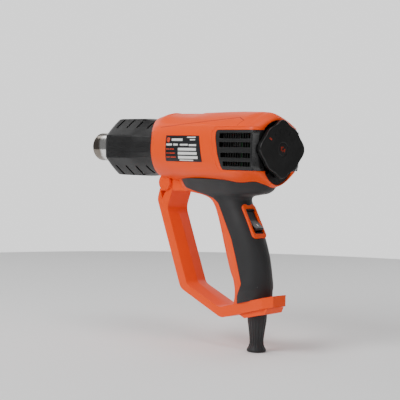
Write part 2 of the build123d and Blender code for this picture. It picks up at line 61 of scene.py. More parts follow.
def linear(hexCode):
    # sRGB hex to linear colour with alpha 1
    parts = [int(hexCode[i:i + 2], 16) / 255 for i in (1, 3, 5)]
    return [c / 12.92 if c <= 0.04045 else ((c + 0.055) / 1.055) ** 2.4 for c in parts] + [1.0]


def smoothStep(low, high, value):
    # 0 below low, 1 above high, an S curve between
    t = np.clip((value - low) / (high - low), 0, 1)
    return t * t * (3 - 2 * t)


def curveThrough(keys, values, at):
    # monotone cubic through the keyed rows: slopes are harmonic means of the chords, so nothing overshoots
    keys = np.asarray(keys, float)
    values = np.asarray(values, float)
    if values.ndim == 1:
        values = values[:, None]
    step = np.diff(keys)[:, None]
    chord = np.diff(values, axis=0) / step
    slope = np.zeros_like(values)
    product = chord[:-1] * chord[1:]
    safe = np.where(product > 0, chord[:-1] + chord[1:], 1)
    slope[1:-1] = np.where(product > 0, 2 * product / safe, 0)
    slope[0] = chord[0]
    slope[-1] = chord[-1]
    at = np.asarray(at, float)
    i = np.clip(np.searchsorted(keys, at, side="right") - 1, 0, len(keys) - 2)
    h = (keys[i + 1] - keys[i])[..., None]
    t = np.clip((at - keys[i])[..., None] / h, -0.2, 1.2)
    return ((2 * t ** 3 - 3 * t ** 2 + 1) * values[i] + (t ** 3 - 2 * t ** 2 + t) * h * slope[i]
            + (3 * t ** 2 - 2 * t ** 3) * values[i + 1] + (t ** 3 - t ** 2) * h * slope[i + 1])


def spread(*runs):
    # levels made of runs (from, to, count), each end shared with the next run
    parts = [np.linspace(a, b, n, endpoint=False) for a, b, n in runs]
    return np.concatenate(parts + [[runs[-1][1]]])


def gridFaces(rows, columns, wrap, keep):
    # quads of a rows x columns grid, with the last column joined to the first when wrap is set
    i = np.arange(rows - 1)[:, None]
    j = np.arange(columns if wrap else columns - 1)[None, :]
    right = (j + 1) % columns
    quads = np.stack([i * columns + j, i * columns + right, (i + 1) * columns + right,
                      (i + 1) * columns + j], axis=-1).reshape(-1, 4)
    return quads if keep is None else quads[keep.reshape(-1)]


def meshPiece(name, parts):
    # parts are (points, faces) with points in millimetres; they become one mesh, welded, with outward faces
    vertices = []
    faces = []
    offset = 0
    for points, quads in parts:
        points = np.asarray(points, float).reshape(-1, 3)
        vertices.append(points)
        faces += [[int(v) + offset for v in quad] for quad in quads]
        offset += len(points)
    mesh = bpy.data.meshes.new(name)
    mesh.from_pydata((np.concatenate(vertices) * millimetre).tolist(), [], faces)
    work = bmesh.new()
    work.from_mesh(mesh)
    bmesh.ops.remove_doubles(work, verts=work.verts, dist=2e-6)
    bmesh.ops.dissolve_degenerate(work, edges=work.edges, dist=1e-6)
    loose = [v for v in work.verts if not v.link_faces]
    bmesh.ops.delete(work, geom=loose, context="VERTS")
    bmesh.ops.recalc_face_normals(work, faces=work.faces)
    work.to_mesh(mesh)
    work.free()
    piece = bpy.data.objects.new(name, mesh)
    bpy.context.scene.collection.objects.link(piece)
    mesh.shade_smooth()
    return piece


def pointOutwards(piece, centre):
    # turns an open surface so that its faces look away from the centre
    mesh = piece.data
    count = len(mesh.polygons)
    normals = np.empty(count * 3)
    places = np.empty(count * 3)
    mesh.polygons.foreach_get("normal", normals)
    mesh.polygons.foreach_get("center", places)
    away = places.reshape(-1, 3) - np.asarray(centre) * millimetre
    if (normals.reshape(-1, 3) * away).sum() < 0:
        mesh.flip_normals()


def finish(piece, body, material, replaced=(), wall=0.0, bevel=0.0, segments=2, angle=35):
    # wall and bevel are in millimetres; a wall grows inwards from an open surface
    if wall:
        solid = piece.modifiers.new("wall", "SOLIDIFY")
        solid.thickness = wall * millimetre
        solid.offset = -1
        solid.use_even_offset = True
    if bevel:
        edge = piece.modifiers.new("edge", "BEVEL")
        edge.width = bevel * millimetre
        edge.segments = segments
        edge.limit_method = "ANGLE"
        edge.angle_limit = np.radians(angle)
        edge.use_clamp_overlap = True
    shade = piece.modifiers.new("shade", "WEIGHTED_NORMAL")
    shade.keep_sharp = True
    piece.data.set_sharp_from_angle(angle=np.radians(50))
    piece.data.materials.append(material)
    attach(piece, body)
    if replaced:
        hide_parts(*replaced)
    return piece


def prism(outline, low, high):
    # a side outline of (x, z) points, carried along Y from low to high, closed at both ends
    outline = np.asarray(outline, float)
    n = len(outline)
    near = np.column_stack([outline[:, 0], np.full(n, low), outline[:, 1]])
    far = np.column_stack([outline[:, 0], np.full(n, high), outline[:, 1]])
    sides = [[i, (i + 1) % n, n + (i + 1) % n, n + i] for i in range(n)]
    return np.concatenate([near, far]), sides + [list(range(n))[::-1], list(range(n, 2 * n))]


def turned(profile, count, centre=(0, 0, 0), axis="X", ripple=None):
    # a profile of (along, radius) turned about an axis through the centre; ripple changes the radius by angle
    profile = np.asarray(profile, float)
    angle = np.linspace(0, 2 * pi, count, endpoint=False)[None, :]
    along = np.repeat(profile[:, :1], count, axis=1)
    radius = np.repeat(profile[:, 1:2], count, axis=1)
    if ripple is not None:
        radius = ripple(along, radius, angle)
    a = radius * np.cos(angle)
    b = radius * np.sin(angle)
    order = {"X": (along, a, b), "Y": (a, along, b), "Z": (a, b, along)}[axis]
    points = np.stack(order, axis=-1) + np.asarray(centre, float)
    return points.reshape(-1, 3), gridFaces(len(profile), count, True, None)


def addNode(tree, kind, settings=None, links=None):
    # one node, with values for its settings or sockets, and links from other nodes' outputs into its sockets
    node = tree.nodes.new(kind)
    for key, value in (settings or {}).items():
        if isinstance(key, str) and hasattr(node, key):
            setattr(node, key, value)
        else:
            node.inputs[key].default_value = value
    for key, source in (links or {}).items():
        tree.links.new(source, node.inputs[key])
    return node


def finishTree(name):
    # an empty node tree with a Principled shader and Object coordinates
    material = bpy.data.materials.new(name)
    material.use_nodes = True
    tree = material.node_tree
    shader = tree.nodes["Principled BSDF"]
    place = addNode(tree, "ShaderNodeTexCoord").outputs["Object"]
    return material, tree, shader, place


def moulded(name, finishOf):
    # a moulded plastic: spark-eroded grain, and faint flow clouds that vary its tone and gloss
    material, tree, shader, place = finishTree(name)
    grainScale = 1000 / finishOf["grainMm"]
    grain = addNode(tree, "ShaderNodeTexNoise", {"Scale": grainScale, "Detail": 3.0, "Roughness": 0.6},
                    {"Vector": place})
    clouds = addNode(tree, "ShaderNodeTexNoise", {"Scale": 1000 / finishOf["cloudMm"], "Detail": 4.0},
                     {"Vector": place})
    shade = addNode(tree, "ShaderNodeMix", {"data_type": "RGBA", 6: linear(finishOf["colour"]),
                                            7: linear(finishOf["tint"])}, {0: clouds.outputs["Fac"]})
    gloss = addNode(tree, "ShaderNodeMapRange", {"From Min": 0.3, "From Max": 0.7,
                                                 "To Min": finishOf["roughness"] - finishOf["spread"],
                                                 "To Max": finishOf["roughness"] + finishOf["spread"]},
                    {"Value": clouds.outputs["Fac"]})
    bump = addNode(tree, "ShaderNodeBump", {"Strength": finishOf["grainDepth"], "Distance": 0.0003},
                   {"Height": grain.outputs["Fac"]})
    tree.links.new(shade.outputs[2], shader.inputs["Base Color"])
    tree.links.new(gloss.outputs["Result"], shader.inputs["Roughness"])
    tree.links.new(bump.outputs["Normal"], shader.inputs["Normal"])
    shader.inputs["IOR"].default_value = finishOf["ior"]
    shader.inputs["Specular IOR Level"].default_value = finishOf.get("specular", 0.5)
    shader.inputs["Coat Weight"].default_value = finishOf.get("coat", 0.0)
    shader.inputs["Coat Roughness"].default_value = 0.3
    shader.inputs["Sheen Weight"].default_value = finishOf.get("sheen", 0.0)
    shader.inputs["Sheen Roughness"].default_value = 0.5
    return material


def drawnMetal(name, finishOf):
    # a drawn or turned metal: fine marks that run round the tool's axis, and a colour ramp along it: heat
    # tint on the heater sheet, painted reflection bands on the nozzle
    material, tree, shader, place = finishTree(name)
    stretch = addNode(tree, "ShaderNodeMapping", {"Scale": finishOf["lay"]}, {"Vector": place})
    marks = addNode(tree, "ShaderNodeTexNoise", {"Scale": 1000 / finishOf["markMm"], "Detail": 5.0},
                    {"Vector": stretch.outputs["Vector"]})
    blotch = addNode(tree, "ShaderNodeTexNoise", {"Scale": 90.0, "Detail": 3.0}, {"Vector": place})
    along = addNode(tree, "ShaderNodeSeparateXYZ", {}, {"Vector": place})
    wander = addNode(tree, "ShaderNodeMath", {"operation": "MULTIPLY_ADD", 1: 0.012},
                     {0: blotch.outputs["Fac"], 2: along.outputs["X"]})
    reach = addNode(tree, "ShaderNodeMapRange",
                    {"From Min": finishOf["tintAndReflectionFrom"], "From Max": finishOf["tintAndReflectionTo"]},
                    {"Value": wander.outputs["Value"]})
    ramp = addNode(tree, "ShaderNodeValToRGB", {}, {"Fac": reach.outputs["Result"]})
    stops = finishOf["tintsAndReflections"]
    ramp.color_ramp.elements[0].position = stops[0][0]
    ramp.color_ramp.elements[0].color = linear(stops[0][1])
    ramp.color_ramp.elements[1].position = stops[-1][0]
    ramp.color_ramp.elements[1].color = linear(stops[-1][1])
    for position, colour in stops[1:-1]:
        ramp.color_ramp.elements.new(position).color = linear(colour)
    gloss = addNode(tree, "ShaderNodeMapRange", {"From Min": 0.3, "From Max": 0.7,
                                                 "To Min": finishOf["roughness"] * 0.75,
                                                 "To Max": finishOf["roughness"] * 1.3},
                    {"Value": marks.outputs["Fac"]})
    bump = addNode(tree, "ShaderNodeBump", {"Strength": finishOf["depth"], "Distance": 0.0001},
                   {"Height": marks.outputs["Fac"]})
    tree.links.new(ramp.outputs["Color"], shader.inputs["Base Color"])
    tree.links.new(gloss.outputs["Result"], shader.inputs["Roughness"])
    tree.links.new(bump.outputs["Normal"], shader.inputs["Normal"])
    shader.inputs["Metallic"].default_value = 1.0
    return material


# Moulded finishes. grainMm is drawn coarser than the real 0.1 mm spark grain so that it shows.
# satin orange with broad, soft highlights
orangeNylon = moulded("moulded orange nylon", {
    "colour": "#FF5200", "tint": "#FB4A00", "specular": 0.25, "roughness": 0.42, "spread": 0.05,
    "grainMm": 0.7, "cloudMm": 30, "grainDepth": 0.10, "ior": 1.53})
# near-black with a dry, fine grain
darkNylon = moulded("moulded dark grey glass-filled nylon", {
    "colour": "#151617", "tint": "#111213", "roughness": 0.44, "spread": 0.06, "grainMm": 0.6, "cloudMm": 18,
    "grainDepth": 0.16, "ior": 1.53})
# black, a little duller than the vent panels
barrelNylon = moulded("moulded heat-resistant barrel nylon", {
    "colour": "#131314", "tint": "#101011", "roughness": 0.46, "spread": 0.06, "grainMm": 0.6, "cloudMm": 22,
    "grainDepth": 0.14, "ior": 1.53})
# dull charcoal that barely shines, with a faint bloom at grazing angles
softRubber = moulded("moulded soft elastomer", {
    "colour": "#1D1D1F", "tint": "#18181A", "roughness": 0.60, "spread": 0.07, "grainMm": 0.8, "cloudMm": 25,
    "grainDepth": 0.24, "ior": 1.50, "sheen": 0.12})
# deep black with a tighter, cleaner highlight
blackAbs = moulded("moulded black ABS", {
    "colour": "#0D0D0D", "tint": "#0A0A0A", "roughness": 0.36, "spread": 0.05, "grainMm": 0.7, "cloudMm": 15,
    "grainDepth": 0.10, "ior": 1.54})
# smooth black that catches crisp glints on its edges
coverPolycarbonate = moulded("moulded glossy dark polycarbonate", {
    "colour": "#141415", "tint": "#101011", "roughness": 0.26, "spread": 0.05, "grainMm": 0.9, "cloudMm": 15,
    "grainDepth": 0.05, "ior": 1.58, "coat": 0.3})
# flat dark film with an even satin sheen
labelFilm = moulded("satin polyester label film", {
    "colour": "#1C1C1F", "tint": "#19191C", "roughness": 0.34, "spread": 0.03, "grainMm": 1.2, "cloudMm": 20,
    "grainDepth": 0.04, "ior": 1.57})
# matt white print
whiteInk = moulded("white screen ink", {
    "colour": "#F2F2EF", "tint": "#E6E6E3", "roughness": 0.45, "spread": 0.04, "grainMm": 0.8, "cloudMm": 9,
    "grainDepth": 0.05, "ior": 1.50})
# matt orange-red print
orangeInk = moulded("orange screen ink", {
    "colour": "#E03A08", "tint": "#D63405", "roughness": 0.45, "spread": 0.04, "grainMm": 0.8, "cloudMm": 9,
    "grainDepth": 0.05, "ior": 1.50})
# dark orange print, patchy with brighter orange
dimOrangeInk = moulded("dim orange screen ink", {
    "colour": "#7A2208", "tint": "#D63405", "roughness": 0.45, "spread": 0.04, "grainMm": 0.8, "cloudMm": 9,
    "grainDepth": 0.05, "ior": 1.50})
# black print that shows only by its lack of shine
dashInk = moulded("black dial ink", {
    "colour": "#0B0B0C", "tint": "#080809", "roughness": 0.5, "spread": 0.04, "grainMm": 0.8, "cloudMm": 9,
    "grainDepth": 0.05, "ior": 1.50})
# the orange in shade, so the pressed line reads as a groove
creaseOrange = moulded("shaded orange nylon crease", {
    "colour": "#C22E00", "tint": "#B82A00", "roughness": 0.6, "spread": 0.04, "grainMm": 0.8, "cloudMm": 20,
    "grainDepth": 0.05, "ior": 1.53})
# half-gloss green, seen through the slots
greenBoard = moulded("green glass-epoxy board", {
    "colour": "#1E5B33", "tint": "#184D2A", "roughness": 0.4, "spread": 0.05, "grainMm": 1.0, "cloudMm": 8,
    "grainDepth": 0.1, "ior": 1.55})
# buff board with flaky patches
micaBoard = moulded("pressed mica board", {
    "colour": "#B49A72", "tint": "#8F7850", "roughness": 0.5, "spread": 0.1, "grainMm": 2.5, "cloudMm": 6,
    "grainDepth": 0.2, "ior": 1.58})
# chalky cream ceramic
steatite = moulded("unglazed steatite", {
    "colour": "#D9D2C3", "tint": "#CBC3B2", "roughness": 0.7, "spread": 0.06, "grainMm": 0.8, "cloudMm": 8,
    "grainDepth": 0.2, "ior": 1.6})
# soft brown with a waxy sheen
siliconeLead = moulded("silicone lead insulation", {
    "colour": "#8A4A22", "tint": "#7C4120", "roughness": 0.5, "spread": 0.05, "grainMm": 0.8, "cloudMm": 8,
    "grainDepth": 0.08, "ior": 1.42})
# dark grey, lightly grained blocks
epoxyBody = moulded("moulded epoxy component body", {
    "colour": "#202224", "tint": "#1A1C1E", "roughness": 0.45, "spread": 0.05, "grainMm": 0.6, "cloudMm": 8,
    "grainDepth": 0.1, "ior": 1.55})

# bright, with painted dark reflection bands near the mouth and the barrel, their grey a little warm as faint
# heat tint
polishedSteel = drawnMetal("polished stainless nozzle steel", {
    "lay": (6.0, 0.6, 0.6), "markMm": 1.2, "roughness": 0.13, "depth": 0.05,
    "tintAndReflectionFrom": 0.004, "tintAndReflectionTo": 0.042,
    "tintsAndReflections": [(0.0, "#F0EFED"), (0.06, "#8C847C"), (0.30, "#857C73"), (0.42, "#EFEEEC"), (0.6, "#F3F2F0"),
              (0.75, "#B2ADA7"), (1.0, "#8A8580")]})
# straw to brown where it runs hottest
heaterSteel = drawnMetal("heat-tinted stainless sheet", {
    "lay": (6.0, 0.6, 0.6), "markMm": 1.5, "roughness": 0.3, "depth": 0.1, "tintAndReflectionFrom": 0.03, "tintAndReflectionTo": 0.13,
    "tintsAndReflections": [(0.0, "#7A6650"), (0.4, "#8C7C6C"), (1.0, "#9A9894")]})
# dark screw heads that do not glint
blackSteel = drawnMetal("blackened screw steel", {
    "lay": (1.0, 1.0, 1.0), "markMm": 1.0, "roughness": 0.5, "depth": 0.1, "tintAndReflectionFrom": 0.0, "tintAndReflectionTo": 0.3,
    "tintsAndReflections": [(0.0, "#1C1C1D"), (1.0, "#161617")]})
# cool grey with fine marks
zincSteel = drawnMetal("zinc-plated steel", {
    "lay": (1.0, 1.0, 1.0), "markMm": 1.0, "roughness": 0.32, "depth": 0.1, "tintAndReflectionFrom": 0.0, "tintAndReflectionTo": 0.3,
    "tintsAndReflections": [(0.0, "#B9BBBD"), (1.0, "#A9ABAE")]})
# warm copper with turning marks
copper = drawnMetal("turned commutator copper", {
    "lay": (8.0, 0.6, 0.6), "markMm": 0.8, "roughness": 0.25, "depth": 0.1, "tintAndReflectionFrom": 0.0, "tintAndReflectionTo": 0.3,
    "tintsAndReflections": [(0.0, "#B8734A"), (1.0, "#B26C44")]})
print("materials made")


bodyShape = {
    # along X: half width, top, bottom, squareness (2 is round, 4 is nearly square)
    "keys": [92, 106, 120, 160, 205, 236, 247, 256],
    "rows": [(29.4, 29.3, 29.4, 2.05), (30.7, 32.3, 31.0, 2.15), (31.5, 35.2, 32.4, 2.4),
             (32.1, 34.9, 33.4, 2.9), (32.8, 35.3, 34.8, 3.1), (33.1, 34.7, 36.2, 3.2),
             (33.0, 33.4, 36.8, 3.2), (32.6, 32.0, 36.6, 3.2)],
    # squareness of the shoulders before and after they flatten at the rear (1 is a flat chamfer, 2 is round),
    # and where they do so
    "facetTop": (1.45, 1.02, 232, 249),
    "facetBottom": (1.9, 1.08, 222, 245),
    "facetFrom": 104.0,
    "facetTo": 140.0,
    "tailStart": 247.0,       # from here the shell turns in towards its round rear opening
    "tailEarly": 6.5,         # the top and bottom start to turn this much sooner
    "tailTop": 26.8,
    "tailWidth": 23.8,
    "tailBottom": 33.4,
    "rimRadius": 29.1,        # the rim's inner edge sits on the barrel
    "rimLength": 5.0,
    "rimSection": 104.0,      # the section that sets the heights of the rim and the panel's edge
    "band": (119.0, 161.5),   # the shallow band sunk into the top
    "bandDepth": 0.8,
    "wall": 2.4,
    "panelTop": 17.0,
    "panelBottom": -20.4,
    "panelCorner": 3.0,
    "borderStep": 0.5,        # depth of the shallow frame round the vent panel
    "borderWidth": 4.8,
    "borderTop": 20.0,
    "rearEnd": 256.3,
}


def bodySection(x):
    # half width, top, bottom and squareness of the body at each x
    values = curveThrough(bodyShape["keys"], bodyShape["rows"], x)
    return values[..., 0], values[..., 1], values[..., 2], values[..., 3]


def bodySide(x, z):
    # how far out the body's side lies at (x, z): a superellipse, |y/w|^n + |z/h|^n = 1
    w, top, bottom, n = bodySection(x)
    h = np.where(z > 0, top, bottom)
    inner = np.clip(1 - (np.abs(z) / h) ** n, 0, 1)
    return w * inner ** (1 / n)


def facetPower(x, facet):
    first, last, start, end = facet
    return first + (last - first) * smoothStep(start, end, x)


def ventEdge(z):
    # front edge of the vent panel, slanted, with its two corners rounded
    corner = bodyShape["panelCorner"]
    middle = (bodyShape["panelTop"] + bodyShape["panelBottom"]) / 2
    half = (bodyShape["panelTop"] - bodyShape["panelBottom"]) / 2
    zc = np.clip(z, bodyShape["panelBottom"], bodyShape["panelTop"])
    straight = np.interp(zc, [-20.4, -6, 9, 17], [213.6, 208.8, 205.6, 205.6])
    past = np.clip(np.abs(zc - middle) - (half - corner), 0, corner)
    return straight + corner - np.sqrt(corner ** 2 - past ** 2)


def rimLine(z):
    # the housing's front rim, set back at the sides: two parabolas that meet at z = 2
    return 111.4 - np.where(z > 2, 0.0164, 0.0061) * (z - 2) ** 2


def bodyRows():
    # row levels from top centre to bottom centre, as (zone, value): 0 top share, 1 height, 2 bottom share
    top = [(0, t) for t in np.sin(np.linspace(0, pi / 2, 15)) if t < 1]
    frameTop = [(3, 0.0), (3, 0.35)]
    above = [(4, t) for t in (0.25, 0.75)]
    middle = (bodyShape["panelTop"] + bodyShape["panelBottom"]) / 2
    half = (bodyShape["panelTop"] - bodyShape["panelBottom"]) / 2
    side = [(1, middle + half * np.sin(a)) for a in np.linspace(pi / 2, -pi / 2, 29)]
    bottom = [(2, t) for t in np.linspace(0, 1, 17) if t > 0]
    return top + frameTop + above + side + bottom


def shellPoints(side):
    zoneTop = bodyShape["borderTop"]
    bandStart, bandEnd = bodyShape["band"]
    top0, bottom0, n0 = [float(v) for v in bodySection(np.array(bodyShape["rimSection"]))[1:]]
    points = []
    inPanel = []
    for zone, value in bodyRows():
        # a nominal height for this row sets where its rim and panel edge lie
        if zone == 0:
            start = np.arcsin((zoneTop / top0) ** (n0 / 2))
            angle = pi / 2 + (start - pi / 2) * value
            nominal = top0 * np.sin(angle) ** (2 / n0)
        elif zone == 2:
            start = np.arcsin((-bodyShape["panelBottom"] / bottom0) ** (n0 / 2))
            nominal = -bottom0 * np.sin(start + (pi / 2 - start) * value) ** (2 / n0)
        else:
            nominal = {1: value, 3: zoneTop - value, 4: zoneTop - 0.35 - value * 2.65}[zone]
        rim = float(rimLine(np.array(nominal)))
        edge = float(ventEdge(np.array(nominal)))
        border = edge - bodyShape["borderWidth"]
        early = {0: 1 - value, 2: value}.get(zone, 0.0)
        tail = bodyShape["tailStart"] - bodyShape["tailEarly"] * early ** 0.5
        x = spread((rim, rim + 1.5, 2), (rim + 1.5, rim + 6, 4), (rim + 6, bandStart, 4),
                   (bandStart, bandStart + 2.5, 3), (bandStart + 2.5, bandEnd - 3.5, 14),
                   (bandEnd - 3.5, bandEnd, 3), (bandEnd, border - 0.4, 14),
                   (border - 0.4, border, 1), (border, edge, 3),
                   (edge, 234, 10), (234, tail, 5))
        w, top, bottom, n = bodySection(x)
        if zone == 0:
            start = np.arcsin((zoneTop / top) ** (n / 2))
            angle = pi / 2 + (start - pi / 2) * value
            y = w * np.abs(np.cos(angle)) ** (2 / n)
            z = top * np.sin(angle) ** (2 / n)
            # further back the shoulder is a soft facet: |y/y0|^m + |(z-z0)/(top-z0)|^m = 1
            shoulder = w * (1 - (zoneTop / top) ** n) ** (1 / n)
            turn = pi / 2 * (1 - value)
            m = facetPower(x, bodyShape["facetTop"])
            flatY = shoulder * np.cos(turn) ** (2 / m)
            flatZ = zoneTop + (top - zoneTop) * np.sin(turn) ** (2 / m)
            share = smoothStep(bodyShape["facetFrom"], bodyShape["facetTo"], x)
            y = y + (flatY - y) * share
            z = z + (flatZ - z) * share
        elif zone == 2:
            start = np.arcsin((-bodyShape["panelBottom"] / bottom) ** (n / 2))
            angle = start + (pi / 2 - start) * value
            y = w * np.abs(np.cos(angle)) ** (2 / n)
            z = -bottom * np.sin(angle) ** (2 / n)
            low = -bodyShape["panelBottom"]
            shoulder = w * (1 - (low / bottom) ** n) ** (1 / n)
            turn = pi / 2 * value
            m = facetPower(x, bodyShape["facetBottom"])
            share = smoothStep(150, 180, x)
            y = y + (shoulder * np.cos(turn) ** (2 / m) - y) * share
            z = z + (-low - (bottom - low) * np.sin(turn) ** (2 / m) - z) * share
        else:
            z = np.full_like(x, nominal)
            y = bodySide(x, z)
        if (zone, value) in ((0, 0.0), (2, 1.0)):
            y = y * 0
        # the rim narrows to the barrel over its first few millimetres
        reach = np.hypot(y, z)
        narrow = 1 - smoothStep(0, bodyShape["rimLength"], x - rim)
        target = reach + (np.minimum(bodyShape["rimRadius"], reach) - reach) * narrow
        y, z = y * target / reach, z * target / reach
        # a shallow sunk band on top, and the shallow frame round the vent panel
        sunk = bodyShape["bandDepth"] * smoothStep(bandStart, bandStart + 2.5, x)
        sunk = sunk * (1 - smoothStep(bandEnd - 3.5, bandEnd, x)) * (1 - smoothStep(11, 15, y))
        z = z - np.where(z > 20, sunk, 0)
        framed = smoothStep(border - 0.4, border, x) * (zone in (1, 4) or (zone, value) == (3, 0.35))
        y = y - bodyShape["borderStep"] * framed
        # the tail turns in as a quarter ellipse from the last section to the rear opening
        if zone == 2:
            low = np.arcsin(-bodyShape["panelBottom"] / bodyShape["tailBottom"])
            turn = low + (pi / 2 - low) * value
            inY, inZ = bodyShape["tailWidth"] * np.cos(turn), -bodyShape["tailBottom"] * np.sin(turn)
        elif zone == 0:
            low = np.arcsin(zoneTop / bodyShape["tailTop"])
            turn = pi / 2 + (low - pi / 2) * value
            inY, inZ = bodyShape["tailTop"] * np.cos(turn), bodyShape["tailTop"] * np.sin(turn)
        else:
            inZ = nominal
            inY = np.sqrt(bodyShape["tailTop"] ** 2 - min(abs(nominal), 20.0) ** 2)
        t = np.linspace(0, pi / 2, 11)[1:]
        x = np.concatenate([x, x[-1] + (bodyShape["rearEnd"] - x[-1]) * np.sin(t)])
        y = np.concatenate([y, y[-1] + (inY - y[-1]) * (1 - np.cos(t))])
        z = np.concatenate([z, z[-1] + (inZ - z[-1]) * (1 - np.cos(t))])
        points.append(np.stack([x, y * side, z], axis=-1))
        inPanel.append(zone == 1)
    points = np.array(points)
    edgeColumn = points.shape[1] - 1 - (10 + 5 + 10)
    keep = np.ones((points.shape[0] - 1, points.shape[1] - 1), bool)
    inside = np.array(inPanel[:-1]) & np.array(inPanel[1:])
    keep[np.ix_(inside, np.arange(points.shape[1] - 1) >= edgeColumn)] = False
    return points, keep


def makeHousing():
    for name, side in (("left", -1), ("right", 1)):
        points, keep = shellPoints(side)
        quads = gridFaces(points.shape[0], points.shape[1], False, keep)
        shell = meshPiece(name + "_body_shell", [(points, quads)])
        pointOutwards(shell, (190, 0, 0))
        finish(shell, "casing", orangeNylon, (name + "_housing",), bodyShape["wall"], 0.45, 2)


def shoulderSide(x, z):
    # how far out the body lies at (x, z); above the shoulder's foot, |y/y0|^m + |(z - z0)/(top - z0)|^m = 1
    w, top, bottom, n = bodySection(x)
    foot = bodyShape["borderTop"]
    m = facetPower(x, bodyShape["facetTop"])
    rise = np.clip((z - foot) / (top - foot), 0, 1)
    flat = w * (1 - (foot / top) ** n) ** (1 / n) * (1 - rise ** m) ** (1 / m)
    share = smoothStep(bodyShape["facetFrom"], bodyShape["facetTo"], x) * (z > foot)
    plain = bodySide(x, z)
    return plain + (flat - plain) * share


def creasePiece(side):
    # the pressed line on the body's shoulder, as a narrow band that follows the surface
    corners = np.array([(125, 19.6), (165, 23.2), (192, 25.6), (226, 28.7), (235.2, 25.8), (232, 20.6)],
                       float)
    path = np.concatenate([np.linspace(a, b, 16, endpoint=False) for a, b in zip(corners[:-1], corners[1:])])
    ahead = np.gradient(path, axis=0)
    across = np.column_stack([-ahead[:, 1], ahead[:, 0]]) / np.linalg.norm(ahead, axis=1)[:, None]
    rows = []
    for shift, lift in ((-0.35, -0.15), (-0.22, 0.06), (0.22, 0.06), (0.35, -0.15)):
        place = path + across * shift
        y = shoulderSide(place[:, 0], place[:, 1]) + lift
        rows.append(np.column_stack([place[:, 0], y * side, place[:, 1]]))
    points = np.array(rows)
    return points, gridFaces(4, len(path), False, None)


def makeCrease():
    for name, side in (("left", -1), ("right", 1)):
        band = meshPiece(name + "_shoulder_crease", [creasePiece(side)])
        pointOutwards(band, (190, 0, 0))
        finish(band, "casing", creaseOrange)


gripShape = {
    # down the grip: height, front, rear, half width
    "rows": [(-24.0, 128, 253.5, 25.6), (-29.4, 128, 252.8, 24.2), (-33.5, 128.3, 251.4, 22.6),
             (-38, 129.5, 248.4, 20.6),
             (-41.6, 133, 242.0, 18.6), (-43.4, 146, 231.8, 17.6), (-45.4, 163, 221.8, 17.0),
             (-49.0, 175.5, 218.8, 16.8), (-55, 181.6, 221.4, 16.7), (-63, 185.6, 226.2, 16.7),
             (-75, 189.8, 233.2, 16.6), (-90, 194.5, 240.4, 16.5), (-104, 199.4, 245.0, 16.4),
             (-116, 204.6, 247.0, 16.7), (-126, 210.3, 247.8, 17.1), (-133, 211.6, 248.2, 16.8),
             (-139, 210.6, 248.6, 15.5), (-146.2, 208.6, 249.0, 14.7)],
    "squareness": 2.2,
    "skinTop": -29.6,
    "skinWall": 1.8,
    "shellWall": 2.2,
    "pitch": np.tan(np.radians(15)),
    "pitchPivot": 220.0,
    # where orange meets black: height and x
    "seam": [(-150, 221.2), (-139, 221.4), (-132, 226.6), (-126.6, 229.0), (-106, 221.8), (-85.2, 214.4),
             (-66, 203.6), (-59.6, 200.0), (-52, 195.6), (-47.6, 188),
             (-44.0, 172.5), (-38.9, 150), (-34, 146.4), (-29, 143.5)],
}
switchFrame = {"centre": np.array([228.1, 0.0, -68.0]), "lean": np.radians(30.5)}


def switchLocal(points):
    # (down the face, across, out of the face) of points near the switch
    lean = switchFrame["lean"]
    down = np.array([np.sin(lean), 0, -np.cos(lean)])
    out = np.array([np.cos(lean), 0, np.sin(lean)])
    rel = points - switchFrame["centre"]
    return rel @ down, rel[..., 1], rel @ out


def gripRings(count):
    # smooth heights, fronts, rears and half widths at even steps down the keyed rows
    rows = np.array(gripShape["rows"], float)
    at = np.linspace(0, len(rows) - 1, count)
    return curveThrough(np.arange(len(rows)), rows, at)


def seamAngle(rings):
    # angle round each ring at which the orange strip meets the black skin
    seam = np.array(gripShape["seam"], float)
    x = np.interp(rings[:, 0], seam[:, 0], seam[:, 1])
    centre = (rings[:, 1] + rings[:, 2]) / 2
    half = (rings[:, 2] - rings[:, 1]) / 2
    c = np.clip((x - centre) / half, -0.995, 0.98)
    return np.arccos(np.sign(c) * np.abs(c) ** (gripShape["squareness"] / 2))


def gripSurface(side, firstAngle, lastAngle, columns, firstRow=0):
    # each ring is half a superellipse between two angles, 0 at the rear and pi at the front
    rings = gripRings(150)[firstRow:]
    share = np.linspace(0, 1, columns)[None, :]
    angle = firstAngle(rings)[:, None] * (1 - share) + lastAngle(rings)[:, None] * share
    power = 2 / gripShape["squareness"]
    c, s = np.cos(angle), np.sin(angle)
    half = ((rings[:, 2] - rings[:, 1]) / 2)[:, None]
    centre = ((rings[:, 1] + rings[:, 2]) / 2)[:, None]
    x = centre + half * np.sign(c) * np.abs(c) ** power
    y = side * rings[:, 3:4] * np.abs(s) ** power
    # towards its lower end each ring tips into the foot's pitched plane
    tip = smoothStep(-118, -146.2, rings[:, :1])
    z = rings[:, :1] + tip * (x - gripShape["pitchPivot"]) * gripShape["pitch"]
    return np.stack([x, y, z], axis=-1)


def switchHole(points):
    # faces under the switch's bezel are left out
    middle = (points[:-1, :-1] + points[1:, :-1] + points[:-1, 1:] + points[1:, 1:]) / 4
    down, across, out = switchLocal(middle)
    return ~((np.abs(down) < 16.2) & (np.abs(across) < 7.4) & (np.abs(out) < 8))


